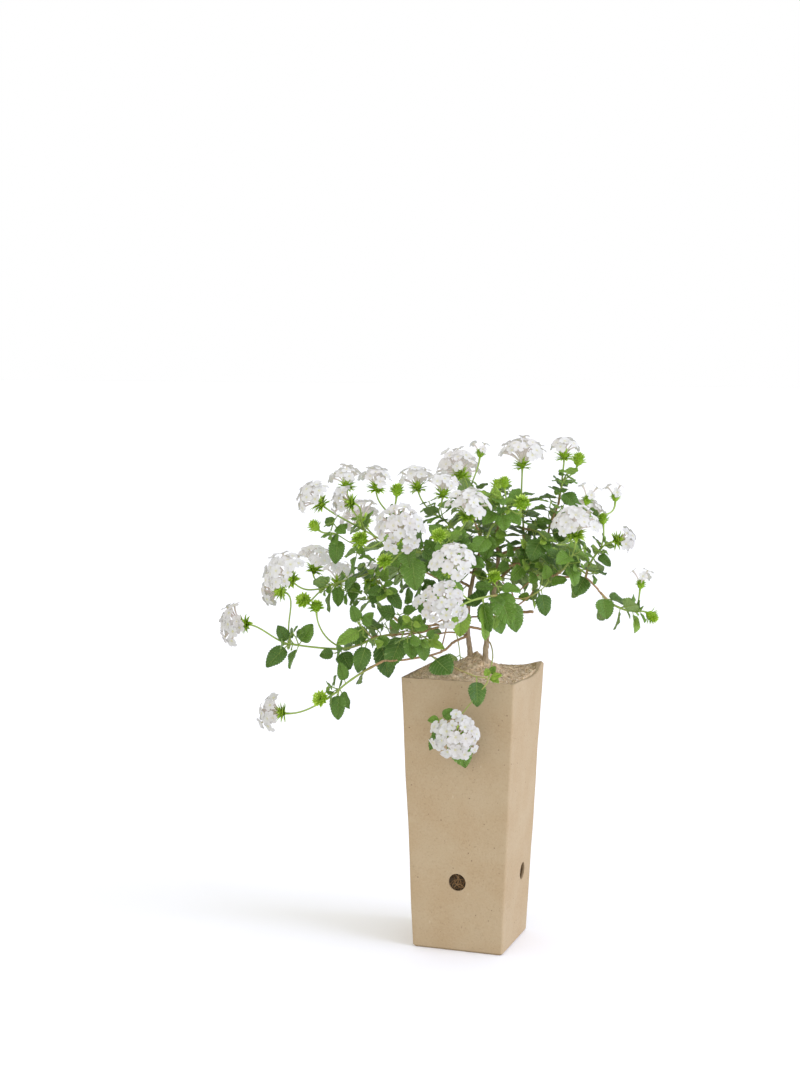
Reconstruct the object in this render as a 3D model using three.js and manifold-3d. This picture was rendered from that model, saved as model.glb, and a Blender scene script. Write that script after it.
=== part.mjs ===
// A trailing lantana with white flower heads, growing in a tall square pot of pressed fibre.
// Millimetres, +Z up, with the origin at the centre of the pot's base. The plant is laid out in a frame
// of its own, turned PLANT_TURN about Z: x runs across it, y away from the viewer and z up.
import * as THREE from "three";
import { ConvexGeometry } from "three/addons/geometries/ConvexGeometry.js";
import { mergeVertices } from "three/addons/utils/BufferGeometryUtils.js";
import Module from "manifold-3d";

const wasm = await Module();
wasm.setup();

// Driving dimensions of the pot and its root ball
const POT_HEIGHT = 217;
const POT_TOP = 92;
const POT_BASE = 74;
const POT_WALL = 2.4;
const POT_FLOOR = 4;
const POT_CORNER = 3.5;
const CORNER_STEPS = 3;
const BASE_BEVEL = 1.6;
const RIM_DIP = 2.4;
const RIM_EAR = 5;
const HOLE_RADIUS = 7;
const HOLE_HEIGHT = 56;
const HOLE_SHIFTS = [0, 0, 0, -12];
const HOLE_SIDES = 12;
const SEAT_GAP = 0.3;
const FACET_TOLERANCE = 0.01;
const STEM_ROOM = 0.4;
const SOIL_LEVEL = 215.2;
const SOIL_BANK = 3.5;
const SOIL_CELLS = 8;

// Driving dimensions of the plant
const PLANT_TURN = THREE.MathUtils.degToRad(18.4);
const BUSH_CENTRE = [0, 0, 290];
const LEAF_WIDTH = 0.82;
const LEAF_THICK = 1.1;
const PETIOLE = 0.22;
const PETIOLE_HALF = 0.6;
const STALK_RADIUS = 0.75;
const STALK_STEPS = 3;
const STALK_SIDES = 3;
const WOOD_SIDES = 5;
const SHOOT_SIDES = 4;
const BRACTS = 5;
const CORE_LIFT = 4.6;
const UNDER_CUP = -3;
const FOOT_RADIUS = 4;
const HEAD_FLORETS = 10;
const FLORETS_PER_MM = 0.6;
const HEAD_SPREAD = 1.15;
const FLORET_LOBES = 5;
const LIMB_FILL = 0.98;
const THROAT = 2.4;
const GAP_SHARE = 0.6;
const FEW_LIMB = 4.2;

// Vectors are plain lists of three numbers.
const add = (a, b) => [a[0] + b[0], a[1] + b[1], a[2] + b[2]];
const sub = (a, b) => [a[0] - b[0], a[1] - b[1], a[2] - b[2]];
const scale = (a, k) => [a[0] * k, a[1] * k, a[2] * k];
const dot = (a, b) => a[0] * b[0] + a[1] * b[1] + a[2] * b[2];
const cross = (a, b) => [
  a[1] * b[2] - a[2] * b[1],
  a[2] * b[0] - a[0] * b[2],
  a[0] * b[1] - a[1] * b[0],
];
const size = (a) => Math.sqrt(dot(a, a));
const unit = (a) => scale(a, 1 / size(a));
const square = (a, axis) => sub(a, scale(axis, dot(a, axis)));

// Turns a vector about a unit axis by an angle in radians.
function turn(a, axis, angle) {
  const c = Math.cos(angle);
  const s = Math.sin(angle);
  const along = scale(axis, dot(a, axis) * (1 - c));
  return add(add(scale(a, c), scale(cross(axis, a), s)), along);
}

// A seeded random draw between two numbers.
function dice(seed) {
  let state = seed;
  return (low, high) => {
    state = (state * 48271) % 2147483647;
    return low + ((high - low) * state) / 2147483647;
  };
}

// The woody stems: each trunk's own path and its branches, with the radius at the foot and at the end.
const TRUNKS = {
  left: [
    { path: [[-2, -6, 206], [-3, -5, 231], [-6, -5, 258], [-2, 0, 292], [5, 4, 318]], r: [2.4, 1.4] },
    {
      path: [
        [-5, -5, 247],
        [-17, -25, 245],
        [-24, -40, 241],
        [-36, -50, 238],
        [-60, -50, 234],
        [-72, -48, 233],
      ],
      r: [1.3, 0.9],
    },
    {
      path: [[-5, -4, 252], [-14, 10, 252], [-24, 22, 252], [-40, 34, 249], [-55, 42, 246]],
      r: [1.2, 0.9],
    },
    { path: [[-3, -1, 285], [-25, -3, 297], [-48, 0, 303], [-68, 2, 304]], r: [1.4, 0.9] },
    { path: [[-1, 1, 296], [-14, -25, 303], [-26, -50, 310]], r: [1.3, 0.9] },
    { path: [[5, 4, 316], [3, 30, 328], [0, 55, 334]], r: [1.3, 0.9] },
    { path: [[-5, -3, 271], [-22, 28, 284], [-42, 58, 292]], r: [1.3, 0.9] },
  ],
  right: [
    {
      path: [[8, -13, 206], [8, -12, 226], [10, -10, 251], [14, -5, 276], [18, 0, 304], [17, 4, 330]],
      r: [2.5, 1.3],
    },
    {
      path: [
        [10, -10, 252],
        [-4, -19, 256],
        [-20, -26, 259],
        [-42, -28, 253],
        [-62, -24, 250],
        [-78, -20, 248],
      ],
      r: [1.3, 0.9],
    },
    {
      path: [[17, -1, 299], [32, -10, 305], [49, -15, 303], [61, -20, 297], [85, -25, 296], [97, -25, 285]],
      r: [1.4, 0.9],
    },
    { path: [[12, -8, 262], [20, -14, 264], [32, -20, 268], [44, -30, 270]], r: [1.5, 1.4] },
    { path: [[18, 1, 311], [38, 2, 318], [54, 2, 322], [60, 1, 338], [65, 0, 352]], r: [1.4, 0.9] },
    { path: [[13, -6, 273], [18, -30, 280], [21, -52, 286]], r: [1.3, 0.9] },
    { path: [[16, -2, 290], [34, 30, 300], [52, 58, 306]], r: [1.3, 0.9] },
  ],
};

// The leafy sprays. Each has shoots: a path, the number of leaf pairs and the length of their blades. A
// head stands on its own stalk, which leaves a shoot at a share of its length; it has a place, a facing
// and the reach of its florets. One with few open florets has their number, and a bud has no reach. Single
// leaves that show in front are set one by one: each leaves its shoot at a share, in its own direction,
// and turns its upper side to the light.
const SPRAYS = {
  low_left: {
    shoots: [
      {
        path: [[-72, -48, 233], [-88, -42, 223], [-101, -37, 213], [-109, -33, 205]],
        pairs: 2,
        leaf: 20,
      },
    ],
    leaves: [
      { on: 0, from: 0.9, way: [-0.02, -0.35, -0.94], light: [-0.2, -0.9, 0.3], long: 19, wide: 0.85 },
      { on: 0, from: 0.85, way: [0.45, 0.27, -0.85], light: [0.8, -0.7, 0.3], long: 16, wide: 0.7 },
      { on: 0, from: 0.67, way: [-0.25, -0.14, 0.96], light: [0, -0.6, 0.8], long: 15, wide: 0.8 },
    ],
    heads: [
      { on: 0, from: 0.95, at: [-150, -20, 186], face: [-0.95, -0.1, 0.1], reach: 16 },
      { on: 0, from: 1, at: [-119, -36, 200], face: [-0.3, -0.8, 0.3] },
    ],
  },
  far_left: {
    shoots: [
      {
        path: [[-78, -20, 248], [-92, -21, 241], [-106, -22, 238], [-130, -25, 240], [-148, -28, 243]],
        pairs: 2,
        leaf: 20,
      },
    ],
    leaves: [
      { on: 0, from: 0.97, way: [-0.69, -0.3, -0.65], light: [-0.3, -0.9, 0.4], long: 21, wide: 0.85 },
      { on: 0, from: 0.97, way: [-0.51, -0.12, 0.85], light: [0, -0.9, 0.5], long: 14, wide: 0.9 },
      { on: 0, from: 0.86, way: [0.5, -0.21, 0.84], light: [0, -0.9, 0.5], long: 17, wide: 0.9 },
      { on: 0, from: 0.5, way: [0.35, -0.5, -0.6], light: [0, -0.8, 0.5], long: 16, wide: 1.1 },
    ],
    heads: [
      { on: 0, from: 1, at: [-179, -30, 258], face: [-0.88, -0.4, 0.1], reach: 17 },
      { on: 0, from: 0.92, at: [-152, -8, 281], face: [-0.9, 0.2, 0.1], reach: 13 },
      { on: 0, from: 0.45, at: [-124, -42, 270], face: [0, -0.4, 0.8] },
    ],
  },
  left_middle: {
    shoots: [
      {
        path: [[-68, 2, 304], [-84, -6, 296], [-106, -12, 290], [-119, -15, 285]],
        pairs: 2,
        leaf: 19,
      },
      { path: [[-84, -6, 296], [-76, -20, 291], [-69, -30, 286]], pairs: 0 },
    ],
    leaves: [
      { on: 1, from: 0.97, way: [-0.89, -0.45, -0.08], light: [0, -0.9, 0.5], long: 14, wide: 0.85 },
      { on: 1, from: 0.94, way: [-0.47, -0.71, -0.53], light: [-0.2, -0.9, 0.4], long: 12, wide: 0.85 },
      { on: 1, from: 0.97, way: [0.56, -0.4, -0.73], light: [0.1, -0.9, 0.5], long: 16, wide: 0.8 },
      { on: 1, from: 0.62, way: [0.27, -0.41, 0.87], light: [0, -0.9, 0.6], long: 12, wide: 0.9 },
      { on: 1, from: 0.5, way: [-0.27, -0.51, -0.82], light: [0, -0.9, 0.5], long: 16, wide: 0.8 },
      { on: 0, from: 0.5, way: [-0.1, -0.5, -0.86], light: [0, -0.9, 0.3], long: 16, wide: 0.85 },
      { on: 0, from: 0.72, way: [0.05, -0.45, -0.89], light: [0.3, -0.9, 0.3], long: 16, wide: 0.8 },
    ],
    heads: [
      { on: 0, from: 1, at: [-143, -44, 294], face: [-0.6, -0.35, 0.65], reach: 19 },
      { on: 0, from: 0.9, at: [-128, -2, 297], face: [0.3, -0.1, 0.95], reach: 16 },
      { on: 0, from: 0.7, at: [-111, 26, 283], face: [0.4, 0.1, 0.9], reach: 15 },
      { on: 0, from: 1, at: [-133, -26, 275], face: [-0.2, -0.6, 0.3] },
    ],
  },
  left_behind: {
    shoots: [
      {
        path: [[-55, 42, 246], [-68, 42, 258], [-80, 36, 268], [-86, 32, 272]],
        pairs: 2,
        leaf: 20,
      },
    ],
    heads: [{ on: 0, from: 0.8, at: [-83, 18, 286], face: [0.2, -0.3, 0.9], reach: 12 }],
  },
  left_upper: {
    shoots: [
      {
        path: [[-48, 0, 303], [-62, -4, 316], [-78, -10, 325], [-94, -12, 334]],
        pairs: 2,
        leaf: 18,
      },
      { path: [[-78, -10, 325], [-94, -16, 320], [-110, -16, 328]], pairs: 0 },
    ],
    leaves: [
      { on: 1, from: 0.95, way: [-0.09, -0.35, -0.93], light: [-0.1, -0.95, 0.3], long: 19, wide: 0.85 },
      { on: 1, from: 0.97, way: [0.62, -0.18, 0.77], light: [0, -0.8, 0.6], long: 10, wide: 0.8 },
      { on: 1, from: 0.5, way: [0.41, -0.73, -0.54], light: [0, -0.9, 0.5], long: 10, wide: 0.8 },
    ],
    heads: [
      { on: 0, from: 1, at: [-121, -20, 351], face: [-0.7, -0.15, 0.6], reach: 16 },
      { on: 0, from: 0.85, at: [-97, -34, 354], face: [-0.9, -0.2, 0.2], reach: 12 },
      { on: 0, from: 0.7, at: [-103, 12, 362], face: [-0.1, 0.15, 1], reach: 14 },
      { on: 1, from: 1, at: [-124, -6, 330], face: [-0.7, 0.2, 0.6] },
    ],
  },
  crown_left: {
    shoots: [{ path: [[-25, -3, 297], [-40, 2, 315], [-55, 2, 330], [-66, 0, 340]], pairs: 3, leaf: 18 }],
    heads: [
      { on: 0, from: 1, at: [-79, -12, 363], face: [0, -0.1, 1], reach: 14 },
      { on: 0, from: 0.85, at: [-63, -30, 359], face: [0.1, -0.2, 1] },
      { on: 0, from: 0.6, at: [-89, -42, 323], face: [-0.3, -0.6, 0.6] },
    ],
  },
  front_left: {
    shoots: [
      {
        path: [[-26, -50, 310], [-36, -58, 316], [-48, -66, 320], [-56, -70, 321]],
        pairs: 3,
        leaf: 21,
      },
    ],
    leaves: [
      { on: 0, from: 0.79, way: [0.1, -0.12, -0.98], light: [-0.2, -0.8, 0.6], long: 25, wide: 0.95 },
    ],
    heads: [
      { on: 0, from: 0.8, at: [-59, -85, 334.5], face: [-0.1, -0.85, 0.45], reach: 21 },
      { on: 0, from: 1, at: [-70, -74, 311], face: [-0.3, -0.7, 0.5] },
    ],
  },
  crown_middle: {
    shoots: [{ path: [[1, 2, 306], [-12, 6, 325], [-24, 8, 337], [-34, 9, 343]], pairs: 3, leaf: 18 }],
    heads: [
      { on: 0, from: 1, at: [-46, 20, 361], face: [-0.2, 0.1, 1], reach: 15 },
      { on: 0, from: 0.75, at: [-27, -18, 359], face: [0.05, -0.05, 1], reach: 14 },
    ],
  },
  crown_top: {
    shoots: [{ path: [[5, 4, 318], [3, 8, 334], [-1, 14, 348], [-4, 18, 356]], pairs: 3, leaf: 16 }],
    heads: [
      { on: 0, from: 0.9, at: [-11, 16, 373], face: [-0.65, -0.1, 0.75], reach: 18 },
      { on: 0, from: 1, at: [4, 40, 386], face: [0.1, 0, 1], reach: 10, few: 3 },
    ],
  },
  front_middle: {
    shoots: [
      {
        path: [[-14, -25, 303], [-16, -42, 316], [-21, -56, 323], [-26, -66, 325]],
        pairs: 3,
        leaf: 20,
      },
    ],
    heads: [
      { on: 0, from: 1, at: [-31, -86, 333], face: [0, -0.9, 0.4] },
      { on: 0, from: 0.7, at: [-9, -55, 346], face: [0.05, -0.3, 0.95], reach: 18 },
    ],
  },
  front_low: {
    shoots: [
      {
        path: [[21, -52, 286], [8, -64, 286], [-6, -76, 284], [-16, -84, 280]],
        pairs: 2,
        leaf: 20,
      },
    ],
    leaves: [
      { on: 0, from: 0.44, way: [0.12, -0.04, -0.99], light: [0.8, -0.75, 0.2], long: 27, wide: 0.65 },
      { on: 0, from: 0.46, way: [0.2, -0.1, -0.97], light: [-0.6, -0.8, 0.1], long: 22, wide: 0.8 },
    ],
    heads: [
      { on: 0, from: 0.65, at: [-21, -98, 309], face: [0.05, -0.6, 0.8], reach: 18 },
      { on: 0, from: 1, at: [-28, -108, 285], face: [-0.05, -0.95, 0.15], reach: 19 },
    ],
  },
  front_right: {
    shoots: [
      { path: [[32, -20, 268], [27, -36, 281], [20, -48, 291], [14, -58, 293]], pairs: 0 },
      { path: [[27, -36, 281], [38, -39, 282], [50, -40, 289], [56, -38, 296]], pairs: 0 },
    ],
    leaves: [
      { on: 0, from: 0.97, way: [-1, -0.3, 0.05], light: [0, -0.6, 1], long: 15 },
      { on: 0, from: 0.95, way: [1, -0.25, -0.1], light: [0, -0.6, 1], long: 15 },
      { on: 0, from: 0.96, way: [0.32, -0.36, -0.88], light: [-0.1, -1, 0.2], long: 26, wide: 0.9 },
      { on: 0, from: 0.38, way: [0.17, -0.29, -0.94], light: [0.2, -1, 0.1], long: 23, wide: 0.85 },
      { on: 1, from: 0.65, way: [0.19, -0.2, -0.96], light: [0.15, -1, 0.2], long: 17, wide: 0.9 },
      { on: 1, from: 0.95, way: [-0.2, -0.5, 0.85], light: [0, -0.9, 0.6], long: 13, wide: 0.85 },
      { on: 1, from: 0.93, way: [0.85, -0.4, 0.2], light: [0, -0.9, 0.8], long: 13, wide: 0.85 },
    ],
    heads: [{ on: 0, from: 1, at: [12, -64, 298], face: [-0.1, -0.6, 0.7] }],
  },
  centre: {
    shoots: [
      { path: [[17, 4, 330], [19, -6, 340], [22, -14, 348], [24, -20, 352]], pairs: 3, leaf: 19 },
      { path: [[19, -6, 340], [12, -22, 336], [7, -36, 328]], pairs: 1, leaf: 19 },
      { path: [[19, -6, 340], [20, -20, 346], [14, -30, 350]], pairs: 0 },
    ],
    leaves: [
      { on: 1, from: 0.86, way: [-0.5, -0.66, -0.56], light: [-0.1, -0.95, 0.3], long: 17, wide: 1.1 },
      { on: 2, from: 0.71, way: [0.15, -0.77, -0.61], light: [0.1, -0.9, 0.4], long: 17, wide: 0.95 },
      { on: 2, from: 0.97, way: [-0.08, -0.1, 0.99], light: [0, -0.9, 0.5], long: 15, wide: 0.8 },
      { on: 2, from: 0.95, way: [-0.75, -0.07, 0.66], light: [0, -0.9, 0.5], long: 18, wide: 0.8 },
      { on: 2, from: 0.9, way: [-0.62, -0.59, -0.52], light: [-0.1, -0.9, 0.4], long: 15, wide: 0.9 },
      { on: 0, from: 0.97, way: [0.96, -0.01, 0.28], light: [0, -0.8, 0.7], long: 14, wide: 0.6 },
      { on: 0, from: 0.8, way: [0.5, -0.67, -0.55], light: [0.2, -0.9, 0.5], long: 17, wide: 0.8 },
    ],
    heads: [
      { on: 0, from: 0.95, at: [21, -24, 366], face: [0, -0.1, 1] },
      { on: 0, from: 0.7, at: [32, -56, 353], face: [0.1, -0.6, 0.8] },
    ],
  },
  right_crown: {
    shoots: [
      { path: [[38, 2, 318], [38, 5, 332], [37, 4, 345], [36, 2, 354]], pairs: 3, leaf: 18 },
      { path: [[38, 5, 332], [48, -12, 331], [54, -26, 326]], pairs: 2, leaf: 18 },
    ],
    leaves: [
      { on: 1, from: 0.77, way: [-0.42, -0.6, -0.68], light: [0, -0.95, 0.3], long: 20, wide: 1.05 },
      { on: 1, from: 0.55, way: [0.34, -0.8, -0.5], light: [0.2, -0.8, 0.6], long: 20, wide: 0.6 },
    ],
    heads: [{ on: 0, from: 1, at: [36, 0, 381], face: [0, 0, 1], reach: 21 }],
  },
  right_upper: {
    shoots: [{ path: [[65, 0, 352], [66, -2, 360], [67, -5, 367], [67, -6, 371]], pairs: 3, leaf: 16 }],
    leaves: [
      { on: 0, from: 0.49, way: [0.58, -0.5, -0.6], light: [0.3, -0.9, 0.5], long: 18, wide: 0.9 },
    ],
    heads: [
      { on: 0, from: 1, at: [68, -10, 389], face: [0, 0, 1], reach: 13 },
      { on: 0, from: 0.7, at: [80, 8, 382], face: [0.2, 0, 1] },
    ],
  },
  right_outer_crown: {
    shoots: [{ path: [[60, 1, 338], [70, -4, 336], [80, -8, 338], [88, -8, 341]], pairs: 3, leaf: 16 }],
    heads: [
      { on: 0, from: 0.7, at: [84, -28, 354], face: [0.3, -0.1, 1], reach: 13, few: 3 },
      { on: 0, from: 1, at: [112, 18, 353], face: [0, 0, 1], reach: 11, few: 3 },
    ],
  },
  right_middle: {
    shoots: [
      {
        path: [[61, -20, 297], [67, -34, 304], [71, -44, 312], [73, -48, 318]],
        pairs: 3,
        leaf: 18,
      },
    ],
    leaves: [
      { on: 0, from: 0.61, way: [-0.82, -0.32, 0.48], light: [0, -0.7, 0.7], long: 17, wide: 0.8 },
    ],
    heads: [{ on: 0, from: 1, at: [73, -62, 333], face: [-0.1, -0.35, 0.93], reach: 19 }],
  },
  right_outer: {
    shoots: [
      {
        path: [[85, -25, 296], [88, -22, 306], [93, -20, 314], [97, -19, 319]],
        pairs: 3,
        leaf: 17,
      },
    ],
    leaves: [
      { on: 0, from: 0.12, way: [-0.45, -0.5, -0.74], light: [0, -0.9, 0.5], long: 17, wide: 1.05 },
      { on: 0, from: 0.76, way: [0.64, -0.51, -0.57], light: [0, -0.8, 0.6], long: 13, wide: 0.8 },
    ],
    heads: [
      { on: 0, from: 1, at: [100, -8, 337], face: [-0.1, 0, 1] },
      { on: 0, from: 0.8, at: [106, -42, 327], face: [0.85, -0.3, 0.2], reach: 11 },
    ],
  },
  far_right: {
    shoots: [
      {
        path: [[97, -25, 285], [105, -26, 277], [116, -28, 272], [124, -29, 271]],
        pairs: 3,
        leaf: 18,
      },
    ],
    leaves: [
      { on: 0, from: 0.06, way: [0.16, -0.5, -0.85], light: [0.1, -0.9, 0.4], long: 17, wide: 1.05 },
    ],
    heads: [
      { on: 0, from: 0.9, at: [127, -32, 289], face: [0.15, 0, 1], reach: 13, few: 4 },
      { on: 0, from: 1, at: [133, -28, 270], face: [0.7, -0.3, -0.5] },
    ],
  },
  hanging_front: {
    shoots: [
      {
        path: [
          [-36, -50, 238],
          [-28, -54, 235],
          [-14, -60, 229],
          [-2, -66, 225],
          [8, -70, 223],
          [1, -69, 212],
          [-6, -68, 203],
          [-12, -66, 195],
          [-19, -62, 187],
        ],
        pairs: 0,
      },
      { path: [[9, -14, 246], [12, -24, 243], [13, -38, 237], [11, -54, 230], [8, -70, 223]], pairs: 0 },
      { path: [[-19, -62, 187], [-24, -60, 189], [-28, -60, 191]], pairs: 0 },
    ],
    leaves: [
      { on: 0, from: 0.03, way: [0.58, -0.7, -0.42], light: [0.1, -1, 0.25], long: 19, wide: 1.3 },
      { on: 0, from: 0.39, way: [0.04, -0.33, -0.94], light: [0.15, -1, 0.2], long: 19, wide: 0.9 },
      { on: 1, from: 0.97, way: [0.9, -0.3, 0.35], light: [-0.3, -0.8, 1], long: 9 },
      { on: 1, from: 0.95, way: [-0.3, -0.5, 0.9], light: [0, -1, 0.2], long: 7 },
      { on: 1, from: 0.93, way: [0.8, -0.5, -0.4], light: [0.2, -0.8, 0.8], long: 8 },
      { on: 1, from: 0.9, way: [0.5, -0.3, 0.8], light: [0.2, -0.9, 0.6], long: 7 },
      { on: 2, from: 0.84, way: [-0.98, -0.19, -0.04], light: [0, -0.8, 0.7], long: 9 },
      { on: 2, from: 0.92, way: [0.76, -0.3, 0.57], light: [0, -1, 0.3], long: 11 },
      { on: 2, from: 0.5, way: [-0.41, 0.07, -0.91], light: [0.4, -0.9, 0.1], long: 22, wide: 0.65 },
      { on: 0, from: 0.97, way: [0.24, 0.22, -0.95], light: [0.1, -1, -0.2], long: 34, wide: 0.7 },
    ],
    heads: [{ on: 0, from: 1, at: [-15.5, -66, 178.5], face: [-0.05, -0.95, 0.1], reach: 20 }],
  },
  left_low_cluster: {
    shoots: [
      {
        path: [[-62, -24, 250], [-70, -34, 251], [-80, -41, 249], [-88, -45, 246]],
        pairs: 1,
        leaf: 20,
      },
      { path: [[-62, -24, 250], [-56, -38, 255], [-46, -48, 255], [-38, -52, 251]], pairs: 0 },
      { path: [[-80, -41, 249], [-87, -44, 257], [-92, -45, 262]], pairs: 0 },
    ],
    leaves: [
      { on: 0, from: 0.85, way: [-0.3, -0.35, -0.89], light: [-0.3, -0.9, 0.3], long: 21, wide: 0.85 },
      { on: 0, from: 0.5, way: [0.24, -0.1, -0.97], light: [0.1, -0.9, 0.4], long: 27, wide: 0.8 },
      { on: 1, from: 0.33, way: [-0.36, -0.47, -0.81], light: [-0.2, -0.9, 0.4], long: 27, wide: 0.8 },
      { on: 1, from: 0.53, way: [0.02, -0.45, -0.89], light: [0.1, -0.9, 0.4], long: 18, wide: 0.95 },
      { on: 1, from: 0.76, way: [0.19, -0.33, -0.93], light: [0.2, -0.9, 0.4], long: 17, wide: 0.9 },
      { on: 1, from: 0.9, way: [0.83, -0.35, -0.43], light: [-0.5, -0.9, 0.3], long: 15, wide: 0.6 },
      { on: 1, from: 0.43, way: [-0.01, -0.58, 0.81], light: [0, -0.9, 0.6], long: 13, wide: 0.8 },
      { on: 1, from: 0.57, way: [0.33, -0.33, 0.89], light: [0.2, -0.9, 0.6], long: 13, wide: 0.8 },
      { on: 2, from: 0.55, way: [-0.84, -0.33, -0.43], light: [0, -0.9, 0.6], long: 20, wide: 0.7 },
      { on: 2, from: 0.83, way: [-0.36, -0.2, 0.91], light: [0, -0.9, 0.5], long: 14, wide: 0.85 },
      { on: 2, from: 0.79, way: [0.69, -0.09, 0.71], light: [0, -0.9, 0.5], long: 12, wide: 0.85 },
    ],
    heads: [],
  },
  back_left: {
    shoots: [
      {
        path: [[-42, 58, 292], [-54, 74, 300], [-66, 86, 306], [-74, 92, 308]],
        pairs: 3,
        leaf: 21,
      },
    ],
    heads: [
      { on: 0, from: 1, at: [-90, 102, 326], face: [-0.5, 0.5, 0.7], reach: 18 },
      { on: 0, from: 0.6, at: [-46, 98, 318], face: [0.2, 0.5, 0.8] },
    ],
  },
  back: {
    shoots: [{ path: [[0, 55, 334], [-2, 70, 341], [-4, 82, 344], [-6, 90, 345]], pairs: 3, leaf: 21 }],
    heads: [
      { on: 0, from: 1, at: [-8, 104, 364], face: [0, 0.5, 0.85], reach: 17 },
      { on: 0, from: 0.6, at: [20, 88, 356], face: [0.3, 0.4, 0.9] },
    ],
  },
  back_right: {
    shoots: [
      { path: [[52, 58, 306], [64, 72, 311], [76, 82, 312], [84, 88, 311]], pairs: 3, leaf: 21 },
      { path: [[62, 69, 310], [78, 52, 302], [92, 44, 292]], pairs: 2, leaf: 21 },
    ],
    heads: [{ on: 0, from: 0.9, at: [94, 102, 330], face: [0.5, 0.5, 0.6], reach: 17 }],
  },
  back_low: {
    shoots: [
      {
        path: [
          [-24, 22, 252],
          [-20, 46, 252],
          [-14, 68, 243],
          [-10, 82, 228],
          [-8, 88, 214],
          [-7, 91, 200],
        ],
        pairs: 0,
      },
    ],
    leaves: [
      { on: 0, from: 0.76, way: [-0.85, 0.3, -0.45], light: [-0.2, 0.8, 0.5], long: 16 },
      { on: 0, from: 0.78, way: [0.85, 0.3, -0.45], light: [0.2, 0.8, 0.5], long: 16 },
      { on: 0, from: 0.9, way: [0.75, 0.5, -0.4], light: [0.2, 0.8, 0.5], long: 17 },
      { on: 0, from: 0.92, way: [-0.75, 0.5, -0.4], light: [-0.2, 0.8, 0.5], long: 17 },
      { on: 0, from: 0.97, way: [0.2, 0.8, -0.55], light: [0, 0.6, 0.8], long: 14 },
    ],
    heads: [{ on: 0, from: 1, at: [-7, 95, 184], face: [0, 0.7, -0.2] }],
  },
};

// A smooth curve through waypoints.
const through = (path) =>
  new THREE.CatmullRomCurve3(path.map((p) => new THREE.Vector3(...p)), false, "catmullrom", 0.5);

// A green shoot: straight between a few points of its smooth curve, as its facets are.
class Shoot extends THREE.Curve {
  constructor(path) {
    super();
    this.steps = path.length - 1;
    this.stops = through(path).getPoints(this.steps);
  }

  getPoint(share) {
    const place = share * this.steps;
    const k = Math.min(Math.floor(place), this.steps - 1);
    return this.stops[k].clone().lerp(this.stops[k + 1], place - k);
  }
}

const pointOn = (curve, share) => curve.getPoint(share).toArray();
const courseOn = (curve, share) => {
  const near = 0.01;
  const low = Math.max(0, share - near);
  const high = Math.min(1, share + near);
  return unit(sub(pointOn(curve, high), pointOn(curve, low)));
};

// The stalk of a head: it leaves the shoot along it and reaches the head along its facing.
function stalk(shoot, head) {
  const start = pointOn(shoot, head.from);
  const reach = size(sub(head.at, start));
  const leave = unit(add(courseOn(shoot, head.from), unit(sub(head.at, start))));
  const arrive = unit(head.face);
  return new THREE.CubicBezierCurve3(
    new THREE.Vector3(...start),
    new THREE.Vector3(...add(start, scale(leave, 0.35 * reach))),
    new THREE.Vector3(...sub(head.at, scale(arrive, 0.35 * reach))),
    new THREE.Vector3(...head.at),
  );
}

// Beads mark what already stands in the bush, so that a leaf can be bent clear of it.
const BEAD_STEP = 4;
const LEAF_GRID = { along: [0.1, 0.36, 0.62, 0.88], aside: [-0.3, 0, 0.3] };
const CLEAR = 0.9;
const TRIES = [0, 24, -24, 48, -48, 76, -76, 110, -110];
const SET_FOLD = 0.18;
const SET_ARCH = 0.08;

function stringBeads(beads, curve, radii, owner) {
  const spots = [...Array(25).keys()].map((i) => pointOn(curve, i / 24));
  const long = spots.slice(1).reduce((total, spot, i) => total + size(sub(spot, spots[i])), 0);
  const steps = Math.ceil(long / BEAD_STEP);
  for (let i = 0; i <= steps; i++) {
    const share = i / steps;
    const radius = radii[0] + (radii[1] - radii[0]) * share;
    beads.push({ at: pointOn(curve, share), r: radius, owner, stem: true });
  }
}

// Half the blade's width at a share of its length, as a share of its greatest half width.
const leafSpread = (share) => Math.sin(Math.PI * share ** 0.62) ** 0.8;

// A point of a leaf's blade: along it from 0 to 1, and aside of its midrib in half widths.
function leafPoint(leaf, along, aside) {
  const half = 0.5 * leaf.width * aside;
  const rise = leaf.fold * Math.abs(half) - leaf.arch * leaf.long * along * along;
  const out = add(leaf.foot, scale(leaf.course, leaf.stalk + leaf.long * along));
  return add(add(out, scale(leaf.side, half)), scale(leaf.normal, rise));
}

function leafBeads(leaf) {
  const found = [];
  for (const along of LEAF_GRID.along)
    for (const aside of LEAF_GRID.aside) {
      const spread = 2 * aside * leafSpread(along);
      found.push({ at: leafPoint(leaf, along, spread), r: 0.17 * leaf.width });
    }
  return found;
}

function crowded(leaf, beads) {
  const own = leafBeads(leaf);
  for (const bead of beads) {
    if (bead.stem && bead.owner === leaf.owner && size(sub(bead.at, leaf.foot)) < leaf.stalk + 7) continue;
    for (const mine of own) {
      const apart = mine.r + bead.r + CLEAR;
      const d = sub(mine.at, bead.at);
      if (dot(d, d) < apart * apart) return true;
    }
  }
  return own.some((mine) => inPot(mine.at, mine.r));
}

// The height of the soil at a point of the pot's own frame: level, with a mound round the stems and a
// bank under the rim's ear.
function soilHeight(x, y) {
  const broad = 7 * Math.exp(-(((x + 6) ** 2 + y ** 2) / 34 ** 2));
  const mound = 11 * Math.exp(-(((x - 4) ** 2 + (y + 4) ** 2) / 15 ** 2));
  const bank = SOIL_BANK * Math.exp(-(((x - 44) ** 2 + (y - 44) ** 2) / 15 ** 2));
  const rough = 0.8 * Math.sin(x * 0.31 + 1) * Math.cos(y * 0.27) + 0.5 * Math.sin(x * 0.7 - y * 0.55);
  return SOIL_LEVEL + broad + mound + bank + rough;
}

const potHalf = (z) => 0.5 * (POT_BASE + ((POT_TOP - POT_BASE) * z) / POT_HEIGHT);

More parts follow.
